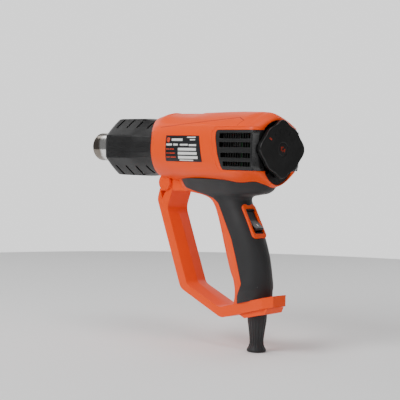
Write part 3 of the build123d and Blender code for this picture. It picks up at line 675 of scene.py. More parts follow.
def makeGrip():
    front = lambda rings: np.full(len(rings), pi)
    rear = lambda rings: np.zeros(len(rings))
    ringHeights = gripRings(150)[:, 0]
    skinStart = int(np.argmin(np.abs(ringHeights - gripShape["skinTop"])))
    for name, side in (("left", -1), ("right", 1)):
        strip = gripSurface(side, seamAngle, front, 34)
        piece = meshPiece(name + "_grip_strip", [(strip, gridFaces(*strip.shape[:2], False, None))])
        pointOutwards(piece, (200, 0, -80))
        finish(piece, "casing", orangeNylon, (name + "_housing",),
               gripShape["shellWall"], 0.4, 2)
        skin = gripSurface(side, rear, seamAngle, 56, skinStart)
        keep = switchHole(skin)
        piece = meshPiece(name + "_grip_skin", [(skin, gridFaces(*skin.shape[:2], False, keep))])
        pointOutwards(piece, (215, 0, -85))
        finish(piece, "casing", softRubber, (name + "_grip_overmould",),
               gripShape["skinWall"], 0.4, 2)


def softened(corners, radii, steps=8):
    # a run of points with each inner corner swapped for a quadratic curve: (1-t)^2 A + 2t(1-t) C + t^2 B
    corners = np.asarray(corners, float)
    t = np.linspace(0, 1, steps)[:, None]
    out = [corners[:1]]
    for before, corner, after, radius in zip(corners[:-2], corners[1:-1], corners[2:], radii):
        a = corner + (before - corner) / np.linalg.norm(before - corner) * radius
        b = corner + (after - corner) / np.linalg.norm(after - corner) * radius
        out.append((1 - t) ** 2 * a + 2 * t * (1 - t) * corner + t ** 2 * b)
    return np.concatenate(out + [corners[-1:]])


knuckle = {
    "x": 117.8,
    "z": -35.0,
    "radius": 8.5,
    "lugHalf": 5.7,
    "earInner": 6.1,
    "earOuter": 13.3,
    "bracketHalf": 13.4,
    "cap": 16.2,
}


def discPart(low, high):
    # a disc on the knuckle's axis between two Y levels, with a conical edge on its outer side
    radius = knuckle["radius"]
    profile = [(low, 0.0), (low, radius), (low + (high - low) * 0.4, radius), (high, radius - 0.7),
               (high, radius * 0.5), (high, 0.0)]
    return turned(profile, 48, (knuckle["x"], 0, knuckle["z"]), "Y")

def makeKnuckle():
    k = knuckle
    lug = discPart(-k["lugHalf"], k["lugHalf"])
    neck = prism([(116, -27), (131, -24), (131, -42.6), (118.4, -42.9)], -k["lugHalf"], k["lugHalf"])
    bracket = prism([(126.6, -25), (150, -25), (150, -41), (146, -43.0), (127.6, -43.2), (126.6, -41.4)],
                    -k["bracketHalf"], k["bracketHalf"])
    for name, part, width in (("knuckle_lug", lug, 0.3), ("knuckle_neck", neck, 0.6),
                              ("knuckle_bracket", bracket, 1.2)):
        piece = meshPiece(name, [part])
        finish(piece, "casing", orangeNylon, ("left_housing", "right_housing"), 0, width, 3)
    caps = [discPart(s * k["bracketHalf"], s * k["cap"]) for s in (-1, 1)]
    piece = meshPiece("knuckle_discs", caps)
    finish(piece, "casing", orangeNylon, ("knuckle_caps",), 0, 0.35, 2)


guardShape = {
    "outer": [(108.9, -41.5), (105.6, -52.5), (142.7, -139.1), (199.9, -161.7), (250.0, -148.3),
              (262.3, -145.0)],
    "inner": [(127.6, -41.5), (120.5, -60.5), (152.0, -134.6), (196.9, -152.0), (250.0, -137.8),
              (262.3, -134.5)],
    "outerRound": [3.0, 5.0, 4.5, 5.0],
    "innerRound": [6.0, 4.0, 5.0, 5.0],
    "halfWidth": 13.5,
    "ridge": 2.2,              # how far the inner face rises along its middle
    "rearHalf": 8.6,           # half width across the foot plate's rear end
    "pocket": [(110.2, -43.6), (117.6, -43.6), (112.9, -51.9)],
    "pocketDepth": 8.0,
}


def makeGuard():
    g = guardShape
    outer = softened(g["outer"], g["outerRound"])
    inner = softened(g["inner"], g["innerRound"])
    outer = np.concatenate([outer[:-1], np.linspace(outer[-2], outer[-1], 9)[1:]])
    inner = np.concatenate([inner[:-1], np.linspace(inner[-2], inner[-1], 9)[1:]])
    count = len(outer)
    # the foot plate has chamfered rear corners, and the ridge dies out where the plate starts
    half = g["halfWidth"] - (g["halfWidth"] - g["rearHalf"]) * np.clip((outer[:, 0] - 252.5) / 9.8, 0, 1)
    ridge = g["ridge"] * smoothStep(-60, -66, inner[:, 1]) * (1 - smoothStep(176, 200, inner[:, 0]))
    side = np.array([-1.0, -0.5, 0.0, 0.5, 1.0])
    toward = (inner - outer) / np.linalg.norm(inner - outer, axis=1)[:, None]
    rings = np.zeros((count, 10, 3))
    for j, s in enumerate(side):
        rings[:, j] = np.column_stack([outer[:, 0], s * half, outer[:, 1]])
        lifted = inner + toward * (ridge * (1 - abs(s)))[:, None]
        rings[:, 9 - j] = np.column_stack([lifted[:, 0], s * half, lifted[:, 1]])
    index = np.arange(count * 10).reshape(count, 10)
    keep = np.ones((count - 1, 10), bool)
    keep[0, 4] = False         # the two side faces that hold the pockets
    keep[0, 9] = False
    points = [rings.reshape(-1, 3)]
    quads = [list(map(int, q)) for q in gridFaces(count, 10, True, keep)]
    quads += [list(map(int, index[0])), list(map(int, index[-1][::-1]))]
    # each pocket: a three-cornered hole in the side face, its walls and its floor
    base = count * 10
    for column, outside in ((4, 1), (9, -1)):
        rim = np.array([(x, outside * g["halfWidth"], z) for x, z in g["pocket"]])
        floor = rim - np.array([0, outside * g["pocketDepth"], 0])
        points += [rim, floor]
        p = [base, base + 1, base + 2]
        f = [base + 3, base + 4, base + 5]
        if column == 4:
            o0, i0, o1, i1 = [int(v) for v in (index[0, 4], index[0, 5], index[1, 4], index[1, 5])]
        else:
            o0, i0, o1, i1 = [int(v) for v in (index[0, 0], index[0, 9], index[1, 0], index[1, 9])]
        quads += [[o0, i0, p[1], p[0]], [o0, p[0], p[2], o1], [o1, p[2], i1], [i0, i1, p[2], p[1]]]
        quads += [[p[0], p[1], f[1], f[0]], [p[1], p[2], f[2], f[1]], [p[2], p[0], f[0], f[2]], f]
        base += 6
    guard = meshPiece("guard_loop", [(np.concatenate(points), quads)])
    finish(guard, "casing", orangeNylon, ("front_guard",), 0, 0.8, 3, 30)
    guard.data.set_sharp_from_angle(angle=np.radians(8))
    ears = []
    k = knuckle
    for s in (-1, 1):
        ears.append(discPart(s * k["earInner"], s * k["earOuter"]))
        low, high = sorted((s * k["earInner"], s * k["earOuter"]))
        ears.append(prism([(109.4, -43), (109.4, -35), (126.2, -35), (126.2, -43)], low, high))
    piece = meshPiece("guard_ears", ears)
    finish(piece, "casing", orangeNylon, ("front_guard",), 0, 0.3, 2)


barrelShape = {
    "profile": [(36.9, 16.0), (36.9, 20.0), (36.9, 25.2), (37.2, 26.0), (38.6, 26.9), (41.6, 28.2)],
    "radius": 28.6,
    "end": 112.8,
    "spigot": [(113.0, 26.4), (120.0, 26.4), (127.9, 26.4)],
    "slots": [50.9, 66.8, 82.4, 98.0],
    "swell": 0.04,             # the front of the barrel is this much larger than its rear
    "flats": 0.75,             # 0 leaves it round, 1 gives it eight flat sides
    "slotHalfWidth": 1.35,
    "slotAngles": [36, 144, 216, 324],
    "slotHalfAngle": 13.2,
    "slotSlant": -0.17,
    "ribs": [-20.8, -10.4, 0.0, 10.4, 20.8],
    "ribHeight": 0.32,
    "wall": 1.3,
}


def makeBarrel():
    b = barrelShape
    # columns: angle from the top, with lines on slot ends and rib flanks
    marks = []
    for centre in b["slotAngles"]:
        marks += list(centre + np.linspace(-b["slotHalfAngle"], b["slotHalfAngle"], 9))
    for centre in (90, 270):
        for rib in b["ribs"]:
            marks += [centre + rib - 1.3, centre + rib - 0.9, centre + rib + 0.9, centre + rib + 1.3]
    marks += list(np.arange(22.5, 360, 45)) + list(np.arange(0, 360, 4.0))
    marks = np.unique(np.round(np.array(marks) % 360, 2))
    angle = marks[np.concatenate([[True], np.diff(marks) > 0.3])]
    # rows: distance along the barrel, with lines on slot edges
    along = [44.5]
    for middle in b["slots"]:
        along += [middle - 6.0, middle - b["slotHalfWidth"], middle + b["slotHalfWidth"], middle + 6.0]
    along = np.array(along + [104.0, 108.4, 109.0, b["end"]])
    x = np.concatenate([[p[0] for p in b["profile"]], along, [p[0] for p in b["spigot"]]])
    r = np.concatenate([[p[1] for p in b["profile"]], np.full(len(along), b["radius"]),
                        [p[1] for p in b["spigot"]]])
    xx = np.repeat(x[:, None], len(angle), axis=1)
    rr = np.repeat(r[:, None], len(angle), axis=1)
    # the front swells into an eight-sided section: r -> r (1 + f (1 / cos d - 1)), d from a flat's middle
    front = ((1 - smoothStep(78, 99, x)) * smoothStep(30, 37, x))[:, None]
    fromFlat = np.radians((angle + 22.5) % 45 - 22.5)[None, :]
    rr = rr * (1 + b["swell"] * front) * (1 + b["flats"] * (1 / np.cos(fromFlat) - 1) * front)
    # ribs stand up along the flanks
    fromSide = (angle % 180) - 90
    ribbed = np.zeros(len(angle))
    for rib in b["ribs"]:
        ribbed = np.maximum(ribbed, 1 - smoothStep(0.95, 1.25, np.abs(fromSide - rib)))
    rows = ((x > 46.5) & (x < 108.7))[:, None]
    rr = rr + b["ribHeight"] * ribbed[None, :] * rows
    # slots lean: near each one the rows shear with the angle
    lean = np.zeros(len(angle))
    inSlot = np.zeros(len(angle), bool)
    for centre in b["slotAngles"]:
        away = angle - centre
        near = np.abs(away) <= b["slotHalfAngle"] + 0.01
        direction = 1 if centre in (36, 216) else -1
        lean = lean + np.where(near, np.radians(away) * b["radius"] * b["slotSlant"] * direction, 0)
        inSlot |= near
    sheared = np.zeros(len(x))
    for middle in b["slots"]:
        sheared[np.abs(x - middle) < 1.5] = 1
    xx = xx + sheared[:, None] * lean[None, :]
    a = np.radians(angle)[None, :]
    points = np.stack([xx, -rr * np.sin(a), rr * np.cos(a)], axis=-1)
    keep = np.ones((len(x) - 1, len(angle)), bool)
    both = inSlot & np.roll(inSlot, -1)
    wide = np.abs(np.roll(angle, -1) - angle) < 5
    for i in range(len(x) - 1):
        if any(abs((x[i] + x[i + 1]) / 2 - middle) < 0.3 for middle in b["slots"]):
            keep[i, both & wide] = False
    barrel = meshPiece("barrel_shell", [(points, gridFaces(len(x), len(angle), True, keep))])
    pointOutwards(barrel, (80, 0, 0))
    finish(barrel, "casing", barrelNylon, ("barrel_sleeve",), b["wall"], 0.25, 2, 40)


def makeNozzle():
    profile = [(1.2, 14.2), (0.4, 14.25), (0.1, 14.4), (0.0, 14.6), (0.1, 14.8), (0.4, 14.95), (1.0, 15.0),
               (3.2, 15.0), (3.6, 14.86), (4.0, 15.0), (30.0, 15.0), (36.4, 15.0), (36.5, 15.25),
               (41.0, 15.28), (49.0, 20.8), (59.8, 20.8), (60.0, 20.4), (59.8, 20.05), (49.3, 20.05),
               (41.3, 14.2), (1.2, 14.2)]
    nozzle = meshPiece("nozzle_sleeve", [turned(profile, 128)])
    finish(nozzle, "casing", polishedSteel, ("nozzle_tube",))


ventShape = {
    "slots": [(13.9, 8.9, 211.0), (5.5, 0.9, 211.0), (-4.3, -8.7, 213.0), (-12.4, -16.6, 216.0)],
    "slotEnd": 251.0,
    "top": 16.75,
    "bottom": -20.15,
    "gap": 0.3,
    "flatEnd": 253.0,
    "wall": 1.6,
}


def makeVents():
    v = ventShape
    levels = [v["top"], v["top"] - 0.5]
    starts = [211.0, 211.0]
    inSlot = [False]
    for high, low, start in v["slots"]:
        run = np.linspace(high, low, 4)
        gapRun = np.linspace(levels[-1], high, 4)[1:]
        levels += list(gapRun) + list(run[1:])
        starts += list(np.linspace(starts[-1], start, 4)[1:]) + [start] * 3
        inSlot += [False] * 3 + [True] * 3
    last = np.linspace(levels[-1], v["bottom"], 4)[1:]
    levels += list(last)
    starts += [216.0] * 3
    inSlot += [False] * 3
    levels = np.array(levels)
    starts = np.array(starts)
    for name, side in (("left", -1), ("right", 1)):
        rows = []
        for z, start in zip(levels, starts):
            inner = np.clip(z, v["bottom"] + 0.01, v["top"] - 0.01)
            edge = float(ventEdge(np.array(inner * 0.985 - 0.1))) + v["gap"]
            edge = min(edge, start - 1.2)
            x = np.concatenate([np.linspace(edge, start, 4), np.linspace(start, v["slotEnd"], 26)[1:],
                                np.linspace(v["slotEnd"], v["flatEnd"], 3)[1:]])
            y = bodySide(x, np.full_like(x, z)) - 0.25
            rows.append(np.column_stack([x, side * y, np.full(len(x), z)]))
        points = np.array(rows)
        keep = np.ones((points.shape[0] - 1, points.shape[1] - 1), bool)
        for i, isOpen in enumerate(inSlot):
            if isOpen:
                keep[i, 3:28] = False
        panel = meshPiece(name + "_vent_face", [(points, gridFaces(*points.shape[:2], False, keep))])
        pointOutwards(panel, (225, 0, 0))
        finish(panel, "casing", darkNylon, (name + "_vent_panel",), v["wall"], 0.25, 2, 45)


coverShape = {
    "earTop": 16.7,
    "earBottom": -20.1,
    "earInner": 18.0,
    "front": 249.0,
    "crease": 253.2,           # upright edge where each ear turns from side to rear
    "rear": 256.3,
    "lean": 6.5,               # how far in the ear's slanted facet runs
}


def makeRearCover():
    # a shallow dish behind the dial, x = 255 - 1.2 (1 - s^2), inside the shell's rear opening
    v = coverShape
    b = bodyShape
    angle = np.linspace(0, 2 * pi, 120, endpoint=False)
    c, s = np.cos(angle), np.sin(angle)
    y = np.where(s > 0, b["tailTop"], b["tailWidth"]) * c
    z = np.where(s > 0, b["tailTop"], b["tailBottom"]) * s
    rings = [np.stack([np.full(120, v["front"]), y * 0.99, z * 0.99], axis=-1)]
    for k in (0.99, 0.98, 0.94, 0.87, 0.75, 0.6, 0.45, 0.3, 0.18):
        rings.append(np.stack([np.full(120, 255.0 - 1.2 * (1 - k * k)), y * k, z * k], axis=-1))
    points = np.array(rings)
    cover = meshPiece("rear_cover_plate", [(points, gridFaces(len(rings), 120, True, None))])
    pointOutwards(cover, (230, 0, 0))
    finish(cover, "casing", coverPolycarbonate, ("rear_cover",), 1.2, 0.4, 3, 40)
    # an ear on each side fills the gap between vent panel and dial
    for name, side in (("left", -1), ("right", 1)):
        levels = np.linspace(v["earTop"], v["earBottom"], 24)
        run = np.linspace(0, 1, 8)
        rows = []
        for level in levels:
            # the ear's top and bottom corners are rounded inwards
            corner = 2.2 * (1 - smoothStep(0, 3.0, min(v["earTop"] - level, level - v["earBottom"])))
            out = float(bodySide(np.array(v["crease"]), np.array(level))) - 0.2 - corner
            x = np.concatenate([[v["crease"] - 1.0], v["crease"] + (v["rear"] - v["crease"]) * run,
                                [v["rear"] - 0.8]])
            y = np.concatenate([[out], out - v["lean"] * run + 0.35 * np.sin(pi * run), [v["earInner"]]])
            rows.append(np.column_stack([x, side * y, np.full(len(x), level)]))
        points = np.array(rows)
        ear = meshPiece(name + "_cover_ear", [(points, gridFaces(*points.shape[:2], False, None))])
        pointOutwards(ear, (240, 0, 0))
        finish(ear, "casing", coverPolycarbonate, ("rear_cover",), 1.0, 0.25, 2, 40)


dialShape = {
    "front": 256.6,
    "back": 262.0,
    "radius": 26.2,
    "widthLobe": 1.6,          # the knob is longer across than it is tall
    "mainLobe": 1.6,
    "smallLobe": 0.9,
    "edge": 0.8,               # rounding of the rear edge
    "taper": 0.97,             # size of the front rim against the rear
    "capRadius": 6.3,
    "capDepth": 0.8,
    "dashAngles": [128, 103, 77, 57, 32],
    "dashRadius": 17.0,
    "dashSize": (0.9, 3.2),
    "pointerAngle": 152,
    "pointerRadius": 19.5,
    "markLevels": (261.99, 261.3),     # top and foot of each printed mark
    "emblemLevels": (261.98, 261.6),
    # emblem bars: centre y and z, width and height
    "emblem": [(-2.6, 0.6, 1.1, 3.8), (-0.6, 1.7, 1.3, 1.5), (-0.4, -1.6, 1.0, 1.8), (2.0, -1.0, 1.2, 3.0)],
}


def dialRadius(angle):
    # four main lobes and four small ones: r = r0 + a cos 2t + b cos 4t + c cos 8t
    d = dialShape
    return (d["radius"] + d["widthLobe"] * np.cos(2 * angle) + d["mainLobe"] * np.cos(4 * angle)
            + d["smallLobe"] * np.cos(8 * angle))


def makeDial():
    d = dialShape
    angle = np.linspace(0, 2 * pi, 192, endpoint=False)
    full = dialRadius(angle)
    turn = np.linspace(0, pi / 2, 5)
    rows = [(d["front"], 0.12, 0), (d["front"], 0.85, 0), (d["front"], d["taper"], -0.4),
            (d["front"] + 0.4, d["taper"], 0)]
    rows += [(d["back"] - d["edge"] + d["edge"] * np.sin(t), 1.0, -d["edge"] * (1 - np.cos(t))) for t in turn]
    rings = []
    for x, k, off in rows:
        r = full * k + off
        rings.append(np.stack([np.full(192, x), r * np.cos(angle), r * np.sin(angle)], axis=-1))
    # rear face: from the lobed edge to the round cap recess, dished by 0.25 mm half way in
    for u in (0.1, 0.25, 0.45, 0.65, 0.85, 0.97, 1.0):
        r = (full - d["edge"]) * (1 - u) + (d["capRadius"] + 0.25) * u
        x = d["back"] - 0.25 * np.sin(pi * u) ** 2 + 0 * r
        rings.append(np.stack([x, r * np.cos(angle), r * np.sin(angle)], axis=-1))
    for x, r in ((d["back"] - 0.2, d["capRadius"]), (d["back"] - d["capDepth"], d["capRadius"]),
                 (d["back"] - d["capDepth"], 0.6)):
        rings.append(np.stack([np.full(192, x), r * np.cos(angle), r * np.sin(angle)], axis=-1))
    points = np.array(rings)
    dial = meshPiece("dial_knob", [(points, gridFaces(len(rings), 192, True, None))])
    finish(dial, "dial", blackAbs, ("temperature_dial",))
    dashes = []
    for a in np.radians(d["dashAngles"]):
        dashes.append(markBar(a, d["dashRadius"], *d["dashSize"]))
    piece = meshPiece("dial_dashes", dashes)
    finish(piece, "dial", dashInk)
    x = d["back"] - d["capDepth"]
    badge = [(x, 0.0), (x, d["capRadius"] - 0.15), (d["back"] - 0.35, d["capRadius"] - 0.15),
             (d["back"] - 0.15, d["capRadius"] - 0.4), (d["back"] - 0.15, 0.0)]
    piece = meshPiece("dial_badge", [turned(badge, 64)])
    finish(piece, "dial", blackAbs, ("dial_cap",))
    emblem = [emblemBar(*row) for row in d["emblem"]]
    piece = meshPiece("dial_emblem", emblem)
    finish(piece, "dial", dimOrangeInk)
    piece = meshPiece("dial_pointer", [markBar(np.radians(d["pointerAngle"]), d["pointerRadius"], 1.5, 3.4)])
    finish(piece, "dial", dimOrangeInk)


def printedBar(y, z, levels):
    # a thin flat bar from its four corners, between two X levels
    outer, inner = [np.column_stack([np.full(4, level), y, z]) for level in levels]
    faces = [[0, 1, 2, 3], [7, 6, 5, 4]] + [[i, (i + 1) % 4, 4 + (i + 1) % 4, 4 + i] for i in range(4)]
    return np.concatenate([outer, inner]), faces

def emblemBar(y, z, width, height):
    # a bar on the badge, its sides along Y and Z
    u = np.array([-1, 1, 1, -1]) * width / 2 + y
    v = np.array([-1, -1, 1, 1]) * height / 2 + z
    return printedBar(u, v, dialShape["emblemLevels"])

def markBar(angle, radius, width, length):
    # a radial bar just proud of the dial's rear face
    u = np.array([-1, 1, 1, -1]) * width / 2
    r = radius + np.array([-1, -1, 1, 1]) * length / 2
    return printedBar(r * np.cos(angle) - u * np.sin(angle), r * np.sin(angle) + u * np.cos(angle),
                      dialShape["markLevels"])

switchShape = {
    "bezel": (36.0, 17.6, 4.2),      # length, width and corner radius
    "opening": (26.6, 12.0, 2.0),
    "rise": 0.8,
    "depth": -2.6,
    "rockerHalf": 5.3,
    "rockerReach": 10.9,
    "rockerTilt": np.radians(12),
    "pivotDepth": 2.1,
}


def switchWorld(down, across, out):
    # a point in the switch's own frame moved to the grip
    lean = switchFrame["lean"]
    axisDown = np.array([np.sin(lean), 0, -np.cos(lean)])
    axisOut = np.array([np.cos(lean), 0, np.sin(lean)])
    down, across, out = np.broadcast_arrays(np.asarray(down, float), across, out)
    return (switchFrame["centre"] + down[..., None] * axisDown + across[..., None] * np.array([0, 1.0, 0])
            + out[..., None] * axisOut)


def roundedBox(length, width, corner, inset, count=12):
    # outline of a rounded rectangle, corner by corner
    half = np.array([length / 2 - inset, width / 2 - inset])
    r = max(corner - inset, 0.3)
    turn = np.linspace(0, pi / 2, count)
    out = []
    for k, (sx, sy) in enumerate(((1, 1), (-1, 1), (-1, -1), (1, -1))):
        a = turn + k * pi / 2
        out.append(np.column_stack([sx * (half[0] - r) + r * np.cos(a), sy * (half[1] - r) + r * np.sin(a)]))
    return np.concatenate(out)


def rockerTop(share):
    # height of the rocker's face from its middle (0) to its ends (1 and -1): 2 |s|^1.35 - 0.3
    return 2.0 * np.abs(share) ** 1.35 - 0.3

def makeSwitch():
    w = switchShape
    length, width, corner = w["bezel"]
    rows = []
    for inset, height in ((0, w["depth"]), (0, w["rise"] - 0.6), (0.18, w["rise"] - 0.18), (0.6, w["rise"])):
        outline = roundedBox(length, width, corner, inset)
        rows.append(switchWorld(outline[:, 0], outline[:, 1], height))
    length, width, corner = w["opening"]
    lip = ((-0.5, w["rise"]), (-0.15, w["rise"] - 0.15), (0, w["rise"] - 0.5), (0, w["depth"]))
    for inset, height in lip:
        outline = roundedBox(length, width, corner, inset)
        rows.append(switchWorld(outline[:, 0], outline[:, 1], height))
    rows.append(rows[0])
    points = np.array(rows)
    bezel = meshPiece("switch_surround", [(points, gridFaces(len(rows), points.shape[1], True, None))])
    finish(bezel, "casing", orangeNylon, ("switch_bezel",))
    # the rocker's top is a shallow V with a soft middle; its ends follow a circle about the pivot
    down = np.linspace(-1, 1, 25)
    reach = w["rockerReach"]
    top = rockerTop(down)
    edge = float(np.sqrt(reach ** 2 - (top[0] + w["pivotDepth"]) ** 2))
    upper = np.column_stack([down * edge, top])
    turn = np.linspace(np.arctan2(top[-1] + w["pivotDepth"], edge), np.radians(-14), 7)[1:]
    rightSide = np.column_stack([reach * np.cos(turn), reach * np.sin(turn) - w["pivotDepth"]])
    leftSide = rightSide[::-1] * np.array([-1, 1])
    outline = np.concatenate([upper, rightSide, leftSide])
    rel = outline + np.array([0, w["pivotDepth"]])
    c, s = np.cos(w["rockerTilt"]), np.sin(w["rockerTilt"])
    # the rocker rests turned so that its lower end stands out
    tilted = np.column_stack([rel[:, 0] * c - rel[:, 1] * s, rel[:, 0] * s + rel[:, 1] * c - w["pivotDepth"]])
    n = len(tilted)
    near = switchWorld(tilted[:, 0], -w["rockerHalf"], tilted[:, 1])
    far = switchWorld(tilted[:, 0], w["rockerHalf"], tilted[:, 1])
    faces = [[i, (i + 1) % n, n + (i + 1) % n, n + i] for i in range(n)] + [list(range(n))[::-1],
                                                                           list(range(n, 2 * n))]
    rocker = meshPiece("rocker_cap", [(np.concatenate([near, far]), faces)])
    finish(rocker, "rocker", blackAbs, ("switch_rocker",), 0, 0.5, 3, 40)
    # printed bar on the raised half
    u = np.array([4.6, 7.2])
    t = rockerTop(u / edge) + 0.06
    rel = np.column_stack([u, t + w["pivotDepth"]])
    place = np.column_stack([rel[:, 0] * c - rel[:, 1] * s, rel[:, 0] * s + rel[:, 1] * c - w["pivotDepth"]])
    quad = switchWorld(place[[0, 1, 1, 0], 0], np.array([-0.5, -0.5, 0.5, 0.5]), place[[0, 1, 1, 0], 1])
    mark = meshPiece("rocker_mark", [(quad, [[0, 1, 2, 3]])])
    pointOutwards(mark, (226.5, 0, -69.3))
    finish(mark, "rocker", whiteInk, (), 0.08)


def makeRelief():
    # the sleeve tapers and flares; fine ridges run down it: r -> r - 0.28 (1 - cos 18a) over the taper
    profile = [(-136, 9.2), (-150, 9.2), (-158, 9.2), (-161, 9.0), (-164, 8.6), (-168, 8.0), (-172, 7.45),
               (-176, 6.95), (-180, 6.6), (-183, 6.75), (-185.5, 7.6), (-187.3, 8.7), (-188.3, 9.1),
               (-189.6, 9.15),
               (-190.0, 8.7), (-190.0, 3.7), (-188, 3.65), (-150, 3.65), (-136, 3.65), (-136, 9.2)]

    def ridged(along, radius, angle):
        share = smoothStep(-158, -162, along) * (1 - smoothStep(-184, -187.5, along)) * (radius > 5)
        return radius - 0.28 * (1 - np.cos(18 * angle)) * share

    relief = meshPiece("bend_relief_sleeve", [turned(profile, 216, (235, 0, 0), "Z", ridged)])
    finish(relief, "casing", softRubber, ("bend_relief",))


def surfacePatch(outline, rows, columns, lift):
    # a four-cornered patch (top left, top right, bottom right, bottom left) laid on the left side of the body
    a, b, c, d = np.asarray(outline, float)
    u = np.linspace(0, 1, columns)[None, :, None]
    v = np.linspace(0, 1, rows)[:, None, None]
    flat = (a * (1 - u) + b * u) * (1 - v) + (d * (1 - u) + c * u) * v
    y = bodySide(flat[..., 0], flat[..., 1]) + lift
    return np.stack([flat[..., 0], -y, flat[..., 1]], axis=-1)


def makeLabel():
    plate = surfacePatch([(136.6, 11.6), (183.9, 11.4), (188.4, -13.6), (136.3, -13.6)], 16, 26, 0.3)
    piece = meshPiece("rating_plate", [(plate, gridFaces(16, 26, False, None))])
    pointOutwards(piece, (160, 0, 0))
    finish(piece, "casing", labelFilm, ("rating_label",), 0.28, 0.1, 2)
    # generic printing: bars and boxes only
    bars = [(145.5, 161.0, 8.6, 6.3), (167.5, 179.5, 10.3, 9.2), (171.5, 179.0, 7.9, 6.9),
            (137.8, 146.0, 3.6, 1.8), (148.0, 154.5, 3.6, 1.8), (157.5, 168.5, 3.4, 1.8),
            (170.3, 180.6, 3.2, 1.4)]
    boxes = [(154.8, 180.4, -0.4, -3.0), (154.8, 181.6, -4.3, -6.9), (155.0, 182.8, -8.2, -10.8),
             (157.0, 176.5, -11.7, -12.8)]
    lines = [(137.6, 142.0, -1.3, -2.2), (143.0, 149.0, -1.3, -2.2), (137.6, 141.4, -5.2, -6.1),
             (142.4, 150.2, -5.2, -6.1), (137.6, 143.2, -9.1, -10.0), (144.2, 151.4, -9.1, -10.0)]
    prints = (("plate_white_print", bars + boxes, whiteInk), ("plate_orange_print", lines, orangeInk))
    for name, group, ink in prints:
        parts = []
        for left, right, high, low in group:
            patch = surfacePatch([(left, high), (right, high), (right, low), (left, low)], 3, 8, 0.36)
            parts.append((patch, gridFaces(3, 8, False, None)))
        if ink is orangeInk:
            turn = np.linspace(0, 2 * pi, 33)[:-1]
            r = np.array([0.02, 1.2, 2.5])[:, None]
            px = 140.6 + r * np.cos(turn)
            pz = 7.3 + r * np.sin(turn)
            disc = np.stack([px, -(bodySide(px, pz) + 0.36), pz], axis=-1)
            parts.append((disc, gridFaces(3, 32, True, None)))
        piece = meshPiece(name, parts)
        pointOutwards(piece, (160, 0, 0))
        finish(piece, "casing", ink, (), 0.05)


def finishRest():
    rest = {
        "orange_nylon": orangeNylon, "black_elastomer": softRubber, "dark_nylon": darkNylon,
        "black_polymer": blackAbs, "orange_mark": orangeInk, "bright_steel": polishedSteel,
        "heater_steel": heaterSteel, "mica": micaBoard, "heating_wire": heaterSteel, "steatite": steatite,
        "fastener_steel": zincSteel, "motor_steel": zincSteel, "copper": copper, "board": greenBoard,
        "aluminium_fin": zincSteel, "component_plastic": epoxyBody, "lead_insulation": siliconeLead,
        "label_film": labelFilm,
    }
    slotOf = {row["node"]: row["material_slot"] for row in frame["record"]["subparts"]}
    own = {"cover_screws": blackSteel}
    for name, node in nodes.items():
        node.data.materials.clear()
        node.data.materials.append(own.get(name, rest[slotOf[name]]))
        node.data.set_sharp_from_angle(angle=np.radians(32))


view = {"distance": 1.0412, "azimuth": 46.0, "elevation": 2.32, "roll": 1.38, "lens": 94.5,
        "target": (0.15384, 0.0, -0.0514)}


def makeCamera():
    a, e, r = [np.radians(view[k]) for k in ("azimuth", "elevation", "roll")]
    back = np.array([np.sin(a) * np.cos(e), -np.cos(a) * np.cos(e), np.sin(e)])
    right = np.array([np.cos(a), np.sin(a), 0])
    up = np.cross(back, right)
    tiltedRight = right * np.cos(r) + up * np.sin(r)
    tiltedUp = -right * np.sin(r) + up * np.cos(r)
    place = np.array(view["target"]) + back * view["distance"]
    data = bpy.data.cameras.new("camera")
    data.lens = view["lens"]
    data.sensor_width = 36.0
    data.clip_end = 20.0
    camera = bpy.data.objects.new("camera", data)
    turn = np.column_stack([tiltedRight, tiltedUp, back])
    camera.matrix_world = Matrix([list(turn[i]) + [float(place[i])] for i in range(3)] + [[0, 0, 0, 1]])
    bpy.context.scene.collection.objects.link(camera)
    bpy.context.scene.camera = camera


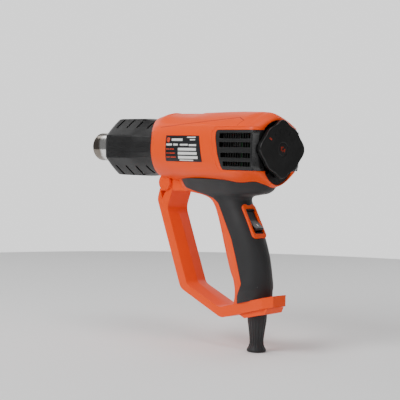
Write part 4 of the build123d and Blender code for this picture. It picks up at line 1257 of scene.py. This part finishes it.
def makeLights():
    lamps = {
        # name: place, aim, size, power
        "key": ((0.0, -1.25, 0.9), (0.15, 0, -0.04), 0.9, 19.0),
        "fill": ((1.4, -0.3, 0.35), (0.2, 0, -0.05), 0.8, 2.0),
        "front": ((-1.2, 0.0, 0.6), (0.1, 0, 0), 0.7, 2.5),
        "top": ((0.25, -0.1, 1.3), (0.15, 0, 0), 0.9, 7.0),
        "far": ((0.1, 1.1, 0.5), (0.15, 0, 0), 0.9, 3.0),
    }
    for name, (place, aim, size, power) in lamps.items():
        data = bpy.data.lights.new(name, "AREA")
        data.shape = "DISK"
        data.size = size
        data.energy = power
        lamp = bpy.data.objects.new(name, data)
        back = np.array(place) - np.array(aim)
        back = back / np.linalg.norm(back)
        right = np.cross([0, 0, 1], back)
        right = right / np.linalg.norm(right)
        up = np.cross(back, right)
        turn = np.column_stack([right, up, back])
        lamp.matrix_world = Matrix([list(turn[i]) + [float(place[i])] for i in range(3)] + [[0, 0, 0, 1]])
        bpy.context.scene.collection.objects.link(lamp)
    # a dim room with one bright backdrop, behind the tool as the camera stands
    world = bpy.data.worlds.new("studio")
    world.use_nodes = True
    tree = world.node_tree
    direction = addNode(tree, "ShaderNodeTexCoord").outputs["Generated"]
    toBackdrop = addNode(tree, "ShaderNodeVectorMath", {"operation": "DOT_PRODUCT", 1: (-0.719, 0.695, 0.0)},
                         {0: direction})
    glow = addNode(tree, "ShaderNodeMapRange", {"interpolation_type": "SMOOTHSTEP", "From Min": 0.78,
                                                "From Max": 0.93, "To Min": 0.2, "To Max": 1.4},
                   {"Value": toBackdrop.outputs["Value"]})
    tree.links.new(glow.outputs["Result"], tree.nodes["Background"].inputs["Strength"])
    tree.nodes["Background"].inputs["Color"].default_value = (1.0, 1.0, 1.0, 1.0)
    bpy.context.scene.world = world


def makeFloor():
    low = cadBox[0][2]
    angle = np.linspace(0, 2 * pi, 96, endpoint=False)
    radius = np.array([0.0, 0.3, 0.6, 0.9])[:, None]
    x = 0.15 + radius * np.cos(angle)
    y = 0.1 + radius * np.sin(angle)
    points = np.stack([x, y, np.full_like(x, low - 0.0004)], axis=-1) / millimetre
    floor = meshPiece("floor", [(points, gridFaces(4, 96, True, None))])
    material, tree, shader, place = finishTree("pale matt floor")
    speckle = addNode(tree, "ShaderNodeTexNoise", {"Scale": 400.0, "Detail": 2.0}, {"Vector": place})
    tone = addNode(tree, "ShaderNodeMix", {"data_type": "RGBA", 6: linear("#F4F4F4"), 7: linear("#F7F7F7")},
                   {0: speckle.outputs["Fac"]})
    tree.links.new(tone.outputs[2], shader.inputs["Base Color"])
    shader.inputs["Roughness"].default_value = 0.9
    floor.data.materials.append(material)


makeCamera()
makeLights()
makeFloor()
print("camera, lights and floor made")
makeHousing()
makeCrease()
makeGrip()
print("housing made")
makeKnuckle()
makeGuard()
print("guard made")
makeBarrel()
makeNozzle()
print("barrel and nozzle made")
makeVents()
makeRearCover()
makeDial()
print("rear end made")
makeSwitch()
makeRelief()
makeLabel()
print("switch, cord entry and label made")
finishRest()
print("finishes given to the remaining parts")
